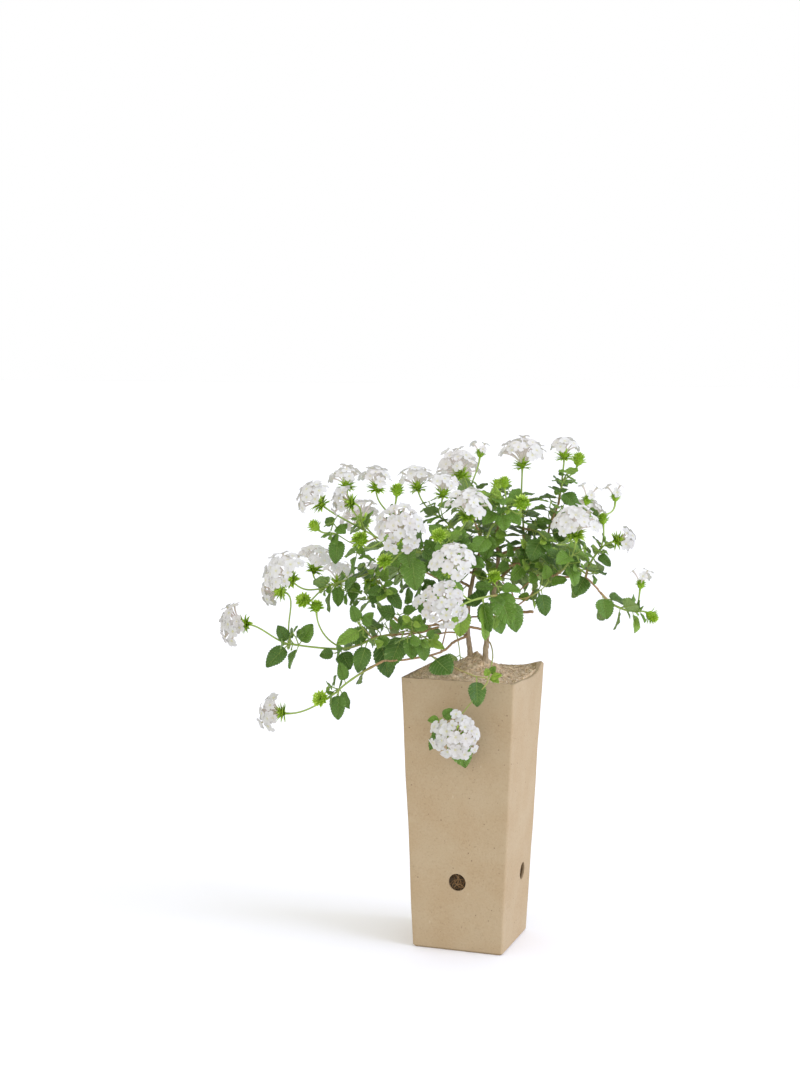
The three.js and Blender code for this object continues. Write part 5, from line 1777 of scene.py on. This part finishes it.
@dataclass
class HeadMaker:
    """Builds what a head is made of: florets, bracts and closed buds."""

    skin: Skin
    roll: Dice
    lobes: int = 5
    lobe_steps: int = 6
    cover: float = 0.062
    sparse_floret: float = 4.2
    largest_floret: float = 5.1
    bud_bracts: int = 46
    bud_width: float = 3.4
    golden: float = math.pi * (3 - math.sqrt(5))
    tube_radii: tuple[float, ...] = (0.42, 0.5, 0.55, 0.62, 0.72, 0.95)
    # The rings of a limb, from its edge to its throat: share of the edge, height, and place in the ramp
    limb_rings: tuple[Place, ...] = (
        (1, 1, 1),
        (0.74, 0.62, 0.66),
        (0.42, 0.2, 0.36),
        (0, -0.3, 0.1),
        (0, -0.9, 0),
    )
    # The whorls of a cup: number of bracts, lean from the facing, length, width and lift
    whorls: tuple[tuple[float, ...], ...] = (
        (9, 1.5, 7.4, 3.8, -1.0),
        (10, 1.15, 8.6, 4.0, -0.2),
        (9, 0.8, 9.0, 3.6, 0.6),
        (7, 0.4, 8.2, 3.0, 1.4),
    )

    def ways(self, head: Head) -> list[tuple[Array, float]]:
        """The direction of each floret of a head, and how far down the dome it stands.

        Args:
            head: The head's place in the plan.

        Returns:
            The directions with their angles from the facing.
        """
        frame = ring_frame(vec(head.face))
        count = head.few or round(self.cover * head.reach**2)
        found = []
        for k in range(count):
            polar = math.acos(1 - ((k + 0.5) / count) * (1 - math.cos(HEAD_SPREAD + 0.12)))
            polar = max(0.0, polar + self.roll(-0.1, 0.1))
            out = spoke(frame, k * self.golden + self.roll(-0.2, 0.2))
            found.append((math.sin(polar) * out + math.cos(polar) * frame[0], polar))
        return found

    def florets(self, head: Head) -> None:
        """Adds the florets of one open head.

        Args:
            head: The head's place in the plan.
        """
        axis = unit(vec(head.face))
        middle = vec(head.at) + CORE_LIFT * axis
        ways = self.ways(head)
        # How far the head faces the sky, which whitens the painted light that its petals give off
        painted_sky_glow = float(smooth(0.3, 0.9, axis[2]))
        share = 2 * math.pi * head.reach**2 * (1 - math.cos(HEAD_SPREAD + 0.25)) / len(ways)
        fitted = min(self.largest_floret, 1.14 * math.sqrt(share / math.pi))
        radius = self.sparse_floret if head.few else fitted
        steps = len(self.tube_radii)
        for way, polar in ways:
            own = radius * self.roll(0.86, 1.12)
            throat = middle + way * (head.reach * self.roll(0.84, 1.04) - 0.8)
            out = unit(square(way, axis)) if polar > 0.05 else vec((0, 0, 0))
            base = vec(head.at) + axis * (1.2 + 2.6 * math.cos(polar)) + 1.5 * math.sin(polar) * out
            long = float(np.linalg.norm(throat - base))
            lean = vec((self.roll(-1, 1), self.roll(-1, 1), self.roll(-1, 1))) * 0.2
            face = unit(way + 0.2 * axis + lean)
            bend = base + long * (0.35 * axis + 0.25 * way)
            shares = np.linspace(0, 1, steps)[:, None]
            spine = (1 - shares) ** 2 * base + 2 * shares * (1 - shares) * bend + shares**2 * throat
            look = (painted_sky_glow, self.roll(0, 1) ** 2)
            grain = np.column_stack((np.linspace(-1, -0.04, steps), np.broadcast_to(look, (steps, 2))))
            tube(self.skin, spine, np.array(self.tube_radii), 5, Finish.PETAL, grain)
            self.limb(throat, face, own, look)

    def limb(self, throat: Array, face: Array, radius: float, look: tuple[float, float]) -> None:
        """Adds the open limb of a floret: rounded lobes of unequal size round a small sunk eye.

        Args:
            throat: The top of the floret's tube.
            face: The way that it faces.
            radius: Its greatest radius.
            look: How far its head faces the sky, which whitens its painted light, and its tint.
        """
        axis, across, other = ring_frame(face)
        count = self.lobes * self.lobe_steps
        angle = 2 * np.pi * np.arange(count) / count
        start = self.roll(0, 2 * math.pi)
        lobe = np.abs(np.cos(self.lobes * angle / 2)) ** 0.42
        sizes = np.array([self.roll(0.88, 1.08) for _ in range(self.lobes)])
        sizes[0] *= 1.16
        own = sizes[np.round(angle * self.lobes / (2 * np.pi)).astype(int) % self.lobes]
        edge = radius * own * (0.66 + 0.34 * lobe)
        ripple = 0.09 * radius * np.sin(3 * angle + self.roll(0, 6)) - 0.13 * radius * (lobe - 0.5)
        cupped = self.roll(-0.12, 0.28)
        out = np.outer(np.cos(angle + start), across) + np.outer(np.sin(angle + start), other)
        points, grains = [], []
        for share, height, outward in self.limb_rings:
            ring = share * edge if share else np.full(count, 0.95 if height > -0.5 else 0.62)
            lift = ripple * share**2 + cupped * radius * share**2 + 0.5 * height * (share == 0)
            points.append(throat + ring[:, None] * out + np.outer(lift + 0.3, axis))
            grains.append(np.column_stack((np.full(count, outward), np.broadcast_to(look, (count, 2)))))
        points = np.concatenate(points + [[throat - 0.35 * axis]])
        grains = np.concatenate(grains + [[(0.0, *look)]])
        self.skin.add(points, net(len(self.limb_rings), count, False, True, True), Finish.PETAL, grains)

    def bract(self, base: Array, way: Array, up: Array, long: float, wide: float, tint: float) -> None:
        """Adds one pointed bract.

        Args:
            base: Its foot.
            way: The direction in which it points.
            up: The direction that its inner face looks to.
            long: Its length.
            wide: Its greatest width.
            tint: How fresh its green is.
        """
        way = unit(way)
        normal = unit(square(up, way))
        side = cross(way, normal)
        along = np.array((0.08, 0.3, 0.55, 0.8))
        half = 0.5 * wide * np.array((0.6, 1.0, 0.8, 0.4))
        run, across = np.meshgrid(along, np.array((-1, 0, 1)), indexing="ij")
        rise = 0.4 * np.abs(across) * half[:, None] - 0.16 * long * run**2
        points = base + np.multiply.outer(long * run, way) + np.multiply.outer(across * half[:, None], side)
        points = (points + np.multiply.outer(rise, normal)).reshape(-1, 3)
        points = np.concatenate(([base], points, [base + long * way - 0.2 * long * normal]))
        self.skin.add(points, net(*run.shape, True, True), Finish.BRACT, blade_grain(run, across, tint))

    def cup(self, head: Head) -> None:
        """Adds the star of bracts under an open head.

        Args:
            head: The head's place in the plan.
        """
        frame = ring_frame(vec(head.face))
        axis, at = frame[0], vec(head.at)
        for whorl, (count, polar, long, wide, lift) in enumerate(self.whorls):
            for k in range(count):
                out = spoke(frame, 2 * math.pi * (k + 0.5 * whorl) / count + self.roll(-0.2, 0.2))
                lean = polar + self.roll(-0.22, 0.22)
                way = math.sin(lean) * out + math.cos(lean) * axis
                base = at + lift * axis + 1.1 * out
                self.bract(base, way, axis - out, long * self.roll(0.82, 1.12), wide, self.roll(0.2, 1.0))
        spine = at + np.multiply.outer(np.array((-1.8, -0.4, 1.4, 3.4, 4.6)), axis)
        tube(self.skin, spine, np.array((0.8, 1.7, 2.3, 2.0, 0.8)), 8, Finish.BRACT, (0.0, 1.0, 0.5))

    def bud(self, at: Array, face: Array, size: float) -> None:
        """Adds a closed head: an egg of pointed bracts that stand out at their tips.

        Args:
            at: Its foot.
            face: The way that it faces.
            size: Its size beside the usual one.
        """
        frame = ring_frame(face)
        axis, fresh = frame[0], self.roll(0.1, 0.8)
        middle = at + 3.6 * size * axis
        heights = np.array((-1, -0.7, 0, 0.7, 1)) * self.bud_width * size
        radii = np.array((0.3, 0.75, 1, 0.75, 0.3)) * self.bud_width * size
        core = middle + np.multiply.outer(heights, axis)
        spine = np.concatenate(([at - axis], core))
        tube(self.skin, spine, np.concatenate(([0.7], radii)), 9, Finish.BRACT, (0.0, 1.0, 0.3 * fresh))
        for k in range(self.bud_bracts):
            share = (k + 0.5) / self.bud_bracts
            polar = 2.3 - 2.15 * share**0.8
            out = spoke(frame, k * self.golden)
            normal = math.sin(polar) * out + math.cos(polar) * axis
            base = middle + 2.9 * size * normal
            way = normal * self.roll(0.75, 1.1) + (0.85 - 0.3 * share) * axis
            tint = within(fresh + self.roll(-0.3, 0.3))
            long = size * self.roll(3.4, 5.0) * (1 - 0.35 * share)
            self.bract(base, way, axis - 0.6 * out, long, 2.6 * size, tint)


# The pieces


@dataclass
class Pot:
    """The tall square pot: bowed fibre walls, a dipped rim with an ear, and a hole in each wall."""

    wardrobe: Wardrobe
    side_steps: int = 22
    corner_steps: int = 7
    rows: int = 44
    base_bevel: float = 1.6
    corner: float = 2.0
    rim_dip: float = 2.4
    rim_ear: float = 5
    hole_radius: float = 7
    hole_height: float = 56
    hole_shifts: tuple[float, ...] = (0, 0, 0, -12)
    corners: tuple[tuple[int, int], ...] = ((1, 1), (-1, 1), (-1, -1), (1, -1))
    inner_rings: int = 9

    def outline(self, half: float, corner: float) -> Array:
        """The pot's outline at a half width, anticlockwise from above.

        Args:
            half: Half its width.
            corner: The radius of its corners.

        Returns:
            The points.
        """
        inner = half - corner
        found = []
        for side, (sx, sy) in enumerate(self.corners):
            for k in range(self.corner_steps + 1):
                angle = math.pi / 2 * (side + k / self.corner_steps)
                found.append((sx * inner + corner * math.cos(angle), sy * inner + corner * math.sin(angle)))
            last = np.array(found[-1])
            nx, ny = self.corners[(side + 1) % 4]
            turn = math.pi / 2 * (side + 1)
            ahead = np.array((nx * inner + corner * math.cos(turn), ny * inner + corner * math.sin(turn)))
            for k in range(1, self.side_steps):
                found.append(tuple(last + (ahead - last) * k / self.side_steps))
        return np.array(found)

    def rim(self, x: Array, y: Array) -> Array:
        """The rim's height: level, but for a dip along the right wall and an ear at the corner behind it.

        Args:
            x: Places across the pot.
            y: Places from its front to its back.

        Returns:
            The heights.
        """
        ear = self.rim_ear * np.exp(-((x - POT_TOP / 2) ** 2 + (y - POT_TOP / 2) ** 2) / 13**2)
        on_right = np.maximum(0, (x - 0.3 * POT_TOP) / (0.2 * POT_TOP))
        return POT_HEIGHT + ear - self.rim_dip * on_right * np.exp(-((y - 8) ** 2) / 26**2)

    def ring(self, height: float, inset: float, corner: float, lift: float = 0) -> Array:
        """One ring of the wall at a height, which follows the rim as it nears it.

        Args:
            height: Its height on a level wall.
            inset: How far it lies inside the wall's face.
            corner: The radius of its corners.
            lift: How far it is raised.

        Returns:
            The points.
        """
        flat = self.outline(pot_half(height) - inset, corner)
        z = height * self.rim(flat[:, 0], flat[:, 1]) / POT_HEIGHT + lift
        return np.column_stack((flat, z if height > self.base_bevel else np.full(len(flat), height)))

    def swell(self, spots: Array, inward: float, drop: float) -> Array:
        """Thickens the rim along the right wall, and most at the ear.

        Args:
            spots: The places of one ring.
            inward: How far they move in, as a share of the extra thickness.
            drop: How far they sink, as a share of it.

        Returns:
            The places, moved.
        """
        gap = ((spots[:, :2] - POT_TOP / 2) ** 2).sum(1)
        on_right = np.clip((spots[:, 0] - 0.4 * POT_TOP) / (0.08 * POT_TOP), 0, 1)
        extra = 3.4 * np.exp(-gap / 14**2) + 0.8 * on_right
        made = spots.copy()
        made[:, :2] *= (1 - inward * extra / (0.5 * POT_TOP))[:, None]
        made[:, 2] -= drop * extra
        return made

    def warp(self, points: Array) -> Array:
        """Bows and ripples the walls a little, as pressed fibre dries.

        Args:
            points: The points of plain walls.

        Returns:
            The points, moved.
        """
        made = points.copy()
        for spot in made:
            x, y, z = spot
            share = min(1.0, z / 30)
            push = noise.noise(Vector((x / 42, y / 42, z / 60))) * 0.55
            push += noise.noise(Vector((x / 15, y / 15, z / 18 + 7))) * 0.2
            out = np.array((x, y)) / math.hypot(x, y)
            spot[:2] += share * push * out
            if z > POT_HEIGHT - 6:
                spot[2] += 0.3 * noise.noise(Vector((x / 5, y / 5, 3)))
        return made

    def build(self) -> None:
        """Builds the pot in place of its solid."""
        levels = self.base_bevel + (POT_HEIGHT - self.base_bevel) * np.linspace(0, 1, self.rows)
        rings = [self.ring(0, self.base_bevel, self.corner - 0.5)]
        rings += [self.ring(level, 0, self.corner) for level in levels]
        rings[-1] = self.swell(rings[-1], 0, 0.35)
        rings.append(self.swell(self.ring(POT_HEIGHT, 0.25, self.corner, 0.22), 0.25, 0))
        rings.append(self.swell(self.ring(POT_HEIGHT, POT_WALL - 0.3, POT_CORNER - 1, 0.18), 0.7, 0.15))
        inside = np.linspace(POT_HEIGHT - 0.4, POT_FLOOR, self.inner_rings)
        rings += [self.ring(level, POT_WALL, POT_CORNER - 1) for level in inside]
        rings[-self.inner_rings] = self.swell(rings[-self.inner_rings], 1, 0.75)
        rings[-1][:, 2] = POT_FLOOR
        count = len(rings[0])
        plain = np.concatenate(rings)
        # How far each point takes the card's darker colour: the rim's top and the inner walls are partly cut
        # card, partly painted shade
        cut_edge_and_shade = np.zeros(len(plain))
        cut_edge_and_shade[-(self.inner_rings + 2) * count :] = 0.55
        cut_edge_and_shade[-self.inner_rings * count :] = 0.3
        # Painted shade: the rim and inner walls are darkest on the left and lightest on the right
        cut_edge_and_shade[count:] *= 1 - 0.85 * smooth(-0.2 * POT_TOP, 0.35 * POT_TOP, plain[count:, 0])
        # Painted shade: the bevel under the foot is darkened
        cut_edge_and_shade[:count] = 0.5
        faces = [face for block in net(len(rings), count, closed=True) for face in block.tolist()]
        faces.append(list(range(count))[::-1])
        faces.append(list(range(len(plain) - count, len(plain))))
        points = self.warp(plain)
        mesh = bpy.data.meshes.new("fibre_pot")
        mesh.from_pydata((points * MM).tolist(), [], faces)
        made = placed("fibre_pot", mesh)
        self.punch(made)
        self.shade(made.data, points, cut_edge_and_shade)
        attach(made, "root")
        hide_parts("pot")
        log.info("fibre_pot: %d faces", len(made.data.polygons))

    def punch(self, made: bpy.types.Object) -> None:
        """Cuts the holes through the walls.

        Args:
            made: The pot.
        """
        for side, shift in enumerate(self.hole_shifts):
            bpy.ops.mesh.primitive_cylinder_add(vertices=40, radius=self.hole_radius * MM, depth=18 * MM)
            punch = bpy.context.active_object
            middle = Vector((shift, pot_half(self.hole_height), self.hole_height)) * MM
            turn = Matrix.Rotation(math.pi / 2 * side, 4, "Z")
            punch.matrix_world = turn @ Matrix.Translation(middle) @ Matrix.Rotation(math.pi / 2, 4, "X")
            bpy.context.view_layer.update()
            cut = made.modifiers.new("hole", "BOOLEAN")
            cut.operation, cut.object, cut.solver = "DIFFERENCE", punch, "EXACT"
            with bpy.context.temp_override(object=made, active_object=made):
                bpy.ops.object.modifier_apply(modifier=cut.name)
            bpy.data.objects.remove(punch)

    def shade(self, mesh: bpy.types.Mesh, points: Array, cut_edge_and_shade: Array) -> None:
        """Dresses the pot, and marks its cut rim and holes, and the painted shade on its rim, inner walls and
        foot.

        Args:
            mesh: The pot's mesh with its holes cut.
            points: The points that it had before, in millimetres.
            cut_edge_and_shade: How far each of those takes the darker colour, as cut card and as painted
                shade.
        """
        known = KDTree(len(points))
        for index, point in enumerate(points):
            known.insert(point, index)
        known.balance()
        grain = np.zeros((len(mesh.vertices), 3))
        for index, vertex in enumerate(mesh.vertices):
            spot = vertex.co / MM
            _, nearest, gap = known.find(spot)
            if gap < 0.01:
                grain[index, 0] = cut_edge_and_shade[nearest]
            elif max(abs(spot.x), abs(spot.y)) < pot_half(spot.z) - 1.3:
                grain[index, 0] = 1
        mesh.materials.clear()
        mesh.materials.append(self.wardrobe.materials[Finish.CARD])
        mesh.polygons.foreach_set("material_index", [0] * len(mesh.polygons))
        carry(mesh, grain)
        mesh.shade_smooth()
        mesh.set_sharp_from_angle(angle=math.radians(38))


@dataclass
class RootBall:
    """The root ball with its mounded, fibrous top, and the roots that show in the pot's holes."""

    wardrobe: Wardrobe
    pot: Pot
    rings: int = 46
    fibres: int = 2600
    fibre_steps: int = 4
    roots_a_hole: int = 11
    levels: tuple[float, ...] = (POT_FLOOR + SEAT_GAP, 40, 56, 72, 120, 170, 205)

    def top(self, flat: Array) -> Array:
        """The height of the compost at places of the pot's frame, with its crumbs.

        Args:
            flat: The places.

        Returns:
            The heights.
        """
        found = soil_height(flat[:, 0], flat[:, 1])
        for k, (x, y) in enumerate(flat):
            lumps = noise.noise(Vector((x / 5, y / 5, 0)))
            crumbs = noise.noise(Vector((x / 1.9, y / 1.9, 9)))
            found[k] += 1.1 * lumps + 0.7 * crumbs
        return found

    def build(self) -> None:
        """Builds the root ball in place of its solid."""
        skin = Skin()
        room = POT_WALL + SEAT_GAP
        outline = self.pot.outline(pot_half(SOIL_LEVEL) - room, POT_CORNER - 1)
        rows = []
        for level in self.levels:
            ring = self.pot.outline(pot_half(level) - room, POT_CORNER - 1)
            rows.append(np.column_stack((ring, np.full(len(ring), level))))
        for k in range(self.rings):
            flat = outline * (1 - k / self.rings)
            rows.append(np.column_stack((flat, self.top(flat))))
        middle = np.array([[0, 0, float(self.top(np.zeros((1, 2)))[0])]])
        count = len(outline)
        points = np.concatenate([[[0, 0, self.levels[0]]], *rows, middle])
        grain = np.zeros((len(points), 3))
        # Painted shade: the sides and foot of the root ball, inside the pot, are marked for the compost's
        # near-black
        grain[: 1 + len(self.levels) * count, 0] = 1
        skin.add(points, net(len(rows), count, True, True, True), Finish.COIR, grain)
        skin.piece("compost", self.wardrobe, "compost", "root_ball")
        self.strew()
        self.roots()

    def strew(self) -> None:
        """Strews short fibres over the compost."""
        skin, roll, steps = Skin(), Seed.FIBRES.dice(), self.fibre_steps
        limit = pot_half(POT_HEIGHT) - POT_WALL - 1
        for _ in range(self.fibres):
            x, y = roll(-limit, limit), roll(-limit, limit)
            way, bend = roll(0, 2 * math.pi), roll(-0.5, 0.5)
            long, stand = roll(2.5, 9), max(0.0, roll(-3, 1)) * 2.2
            flat = [(x, y)]
            for _ in range(steps):
                way += bend
                x, y = x + long / steps * math.cos(way), y + long / steps * math.sin(way)
                flat.append((x, y))
            flat = np.clip(np.array(flat), -limit, limit)
            z = self.top(flat) + 0.12 + stand * np.linspace(0, 1, steps + 1) ** 2
            radii = roll(0.1, 0.24) * np.array((0.6, 1, 1, 0.9, 0.4))
            tube(skin, np.column_stack((flat, z)), radii, 3, Finish.COIR, (0, 0, roll(0, 1)))
        skin.piece("coir_fibres", self.wardrobe, "compost")

    def roots(self) -> None:
        """Coils a few roots behind each hole."""
        skin, roll = Skin(), Seed.ROOTS.dice()
        for side, shift in enumerate(self.pot.hole_shifts):
            c, s = math.cos(math.pi / 2 * side), math.sin(math.pi / 2 * side)
            for k in range(self.roots_a_hole):
                start, sweep = roll(0, 6.3), roll(1.2, 2.6)
                radius = roll(4, 11)
                angle = start + sweep * np.linspace(-0.5, 0.5, 12)
                across = shift + radius * (np.cos(angle) - 0.85 * math.cos(start)) + roll(-3, 3)
                up = self.pot.hole_height + radius * (np.sin(angle) - 0.85 * math.sin(start)) + roll(-3, 3)
                out = pot_half(up) - POT_WALL - SEAT_GAP + 0.25 + 0.2 * k / self.roots_a_hole
                x, y = across * c - out * s, across * s + out * c
                spine = np.column_stack((x, y, up))
                tube(skin, spine, roll(0.25, 0.5), 5, Finish.ROOT, (0, 0, roll(0.1, 0.7)))
        skin.piece("roots_in_holes", self.wardrobe, "compost")


@dataclass
class Wood:
    """One trunk with its branches, with swollen nodes and a flared foot."""

    wardrobe: Wardrobe
    name: str
    branches: list[Branch]
    sides: int = 10
    span: float = 2.2
    slim: float = 0.82
    node_spacing: float = 13
    foot_flare: float = 1.1

    def build(self) -> None:
        """Builds the trunk in place of its solid."""
        skin = Skin(PLANT_TURN)
        roll = Seed.BARK.dice(len(self.name))
        for index, branch in enumerate(self.branches):
            curve = Smooth(branch.path)
            steps = math.ceil(curve.length() / self.span)
            share = np.linspace(0, 1, steps + 1)
            radii = branch.radii[0] + (branch.radii[1] - branch.radii[0]) * share
            if index:
                radii = self.slim * radii
            node = np.abs((share * curve.length() / self.node_spacing + roll(0, 1)) % 1 - 0.5)
            radii = radii * (1 + 0.16 * smooth(0.4, 0.5, node))
            radii *= 1 + 0.05 * np.sin(share * 31 + index)
            if index == 0:
                radii = radii + self.foot_flare * np.exp(-(((share * curve.length() - 20) / 7) ** 2))
            spine = curve.points(steps)
            spine[1:-1] += 0.25 * np.array([[roll(-1, 1) for _ in range(3)] for _ in range(steps - 1)])
            grain = np.column_stack((smooth(0.95, 2.1, radii), np.zeros((steps + 1, 2))))
            tube(skin, spine, radii, self.sides, Finish.BARK, grain)
        skin.piece(f"bark_{self.name}", self.wardrobe, "bark", f"woody_stem_{self.name}")


@dataclass
class LeafySpray:
    """One spray: its shoots, stalks, leaves, twigs, bracts and buds."""

    sparse_bud: ClassVar[float] = 0.85

    wardrobe: Wardrobe
    name: str
    spray: Spray
    leaves: list[Leaf]
    twigs: list[Twig]
    roll: Dice

    def build(self) -> None:
        """Builds the spray in place of its solid."""
        skin = Skin(PLANT_TURN)
        leaf_maker, head_maker = LeafMaker(skin, self.roll), HeadMaker(skin, self.roll)
        shoots = [Bent(shoot.path) for shoot in self.spray.shoots]
        for shoot in self.spray.shoots:
            self.stem(skin, shoot)
        for head in self.spray.heads:
            self.stalk(head_maker, Stalk(shoots[head.shoot], head), head)
        for leaf in self.leaves:
            leaf_maker.build(leaf)
        leaf_maker.dress(self.twigs)
        skin.piece(f"spray_{self.name}", self.wardrobe, "foliage", f"leafy_spray_{self.name}")

    def stem(self, skin: Skin, shoot: Shoot) -> None:
        """Adds one shoot with its swollen nodes.

        Args:
            skin: The piece that it goes into.
            shoot: The shoot's place in the plan.
        """
        curve = Smooth(shoot.path)
        steps = 5 * (len(shoot.path) - 1)
        share = np.linspace(0, 1, steps + 1)
        count = max(shoot.pairs, 3)
        nodes = (np.arange(count) + 0.55) / (count - 0.2)
        near = np.abs(share[:, None] - nodes[None]).min(1)
        full, wood = (1.0, 0.95 - 1.3 * share) if shoot.pairs else (0.58, 0.8 - 0.5 * share)
        radii = full * (1.0 - 0.3 * share) * (1 + 0.25 * (1 - smooth(0, 0.05, near)))
        grain = np.column_stack((share, wood, 0.25 + 0.6 * share))
        tube(skin, curve.points(steps), radii, 7, Finish.STEM, grain)

    def stalk(self, maker: HeadMaker, curve: Stalk, head: Head) -> None:
        """Adds a head's stalk with the bracts or the bud that it ends in.

        Args:
            maker: The maker of its bracts and buds.
            curve: The stalk's line.
            head: The head's place in the plan.
        """
        share = np.linspace(0, 1, 12)
        radii = 0.68 + 0.3 * smooth(0.85, 1, share)
        spine = curve.points(11, 0, 0.985)
        grain = np.column_stack((share, 0 * share, 0.55 + 0.4 * share))
        tube(maker.skin, spine, radii, 6, Finish.STEM, grain)
        if head.reach and not head.few:
            maker.cup(head)
        else:
            size = self.sparse_bud if head.few else self.roll(1.0, 1.25)
            maker.bud(vec(head.at), vec(head.face), size)


def build_bare_twigs(wardrobe: Wardrobe) -> None:
    """Builds the thin leafless twigs that cross between the trunks and the lower shoots.

    Args:
        wardrobe: The finishes.
    """
    skin, steps = Skin(PLANT_TURN), 14
    for twig in BARE_TWIGS:
        spine, radii = Smooth(twig.path).points(steps), np.linspace(*twig.radii, steps + 1)
        tube(skin, spine, radii, 7, Finish.BARK, (0.0, 0.0, 0.0))
    skin.piece("bare_twigs", wardrobe, "bark")


def build_wood_twigs(layout: Layout, wardrobe: Wardrobe) -> None:
    """Builds the leafy twigs that stand on the wood of each trunk.

    Args:
        layout: Where the leaves are.
        wardrobe: The finishes.
    """
    for name in TRUNKS:
        skin = Skin(PLANT_TURN)
        LeafMaker(skin, Seed.TWIG_LEAVES.dice(len(name))).dress(layout.twigs[f"wood_{name}"])
        skin.piece(f"twigs_{name}", wardrobe, "foliage")


def build_heads(wardrobe: Wardrobe) -> None:
    """Builds the florets of every open head in place of its solid, numbered where a spray has several.

    Args:
        wardrobe: The finishes.
    """
    start, step = Seed.FLORETS.value
    for index, (name, spray) in enumerate(SPRAYS.items()):
        heads = [head for head in spray.heads if head.reach]
        for k, head in enumerate(heads):
            skin = Skin(PLANT_TURN)
            HeadMaker(skin, Dice(start + step * index + 5 * k)).florets(head)
            own = f"{name}_{k + 1}" if len(heads) > 1 else name
            skin.piece(f"florets_{own}", wardrobe, "petals", f"flower_head_{own}")


@dataclass
class Studio:
    """The pale floor, the soft light and the camera at the photograph's angle."""

    turn: float = math.radians(18.38)
    distance: float = 1.496
    aside: float = -0.060
    height: float = 0.467
    pitch: float = math.radians(5.33)
    roll: float = math.radians(0.576)
    lens: float = 64.01

    def build(self) -> None:
        """Sets the floor, the lights and the camera."""
        self.floor()
        self.lights()
        self.camera()

    def floor(self) -> None:
        """Lays the floor."""
        shader = Shader("studio_floor")
        bpy.ops.mesh.primitive_circle_add(vertices=64, radius=30, fill_type="NGON")
        floor = bpy.context.active_object
        floor.name = "studio_floor"
        finish = shader.surface(paint(246, 246, 246), 0.9)
        floor.data.materials.append(finish)

    def lights(self) -> None:
        """Hangs the lights: an even white sky, a soft key from the right and a weaker one from the left."""
        scene = bpy.context.scene
        world = bpy.data.worlds.new("white_sky")
        world.use_nodes = True
        sky = world.node_tree.nodes["Background"]
        sky.inputs["Color"].default_value = (1, 1, 1, 1)
        sky.inputs["Strength"].default_value = 1.0
        scene.world = world
        for name, way, colour, strength, angle in (
            ("key", (1.0, -0.1, 0.55), (0.93, 1.0, 1.34), 1.5, 40),
            ("fill", (-0.2, -1.0, 0.15), (1.0, 1.0, 1.0), 0.4, 60),
        ):
            lamp = bpy.data.lights.new(name, "SUN")
            lamp.color = colour
            lamp.energy, lamp.angle = strength, math.radians(angle)
            made = placed(name, lamp)
            made.rotation_mode = "QUATERNION"
            made.rotation_quaternion = Vector(way).to_track_quat("Z", "Y")
        scene.view_settings.view_transform = "Standard"

    def camera(self) -> None:
        """Sets the camera where the photograph was taken from."""
        toward = Vector((math.sin(self.turn), -math.cos(self.turn), 0))
        right = Vector((math.cos(self.turn), math.sin(self.turn), 0))
        up = Vector((0, 0, 1))
        ahead = -toward * math.cos(self.pitch) - up * math.sin(self.pitch)
        over = right.cross(ahead)
        level = right * math.cos(self.roll) + over * math.sin(self.roll)
        upright = over * math.cos(self.roll) - right * math.sin(self.roll)
        data = bpy.data.cameras.new("camera")
        data.lens, data.sensor_width = self.lens, 36
        camera = placed("camera", data)
        axes = Matrix((level, upright, -ahead)).transposed().to_4x4()
        place = toward * self.distance + right * self.aside + up * self.height
        camera.matrix_world = Matrix.Translation(place) @ axes
        bpy.context.scene.camera = camera


def main() -> None:
    """Builds every piece over its solid and sets the studio."""
    logging.basicConfig(level=logging.INFO, format="%(name)s: %(message)s")
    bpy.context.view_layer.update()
    wardrobe = Wardrobe()
    pot = Pot(wardrobe)
    pot.build()
    RootBall(wardrobe, pot).build()
    for name, branches in TRUNKS.items():
        Wood(wardrobe, name, branches).build()
    layout = Layout()
    layout.settle()
    layout.fill()
    for index, (name, spray) in enumerate(SPRAYS.items()):
        leaves, twigs = layout.leaves[name], layout.twigs[name]
        LeafySpray(wardrobe, name, spray, leaves, twigs, Seed.SPRAYS.dice(index)).build()
    build_wood_twigs(layout, wardrobe)
    build_bare_twigs(wardrobe)
    build_heads(wardrobe)
    Studio().build()


if __name__ == "__main__":
    main()
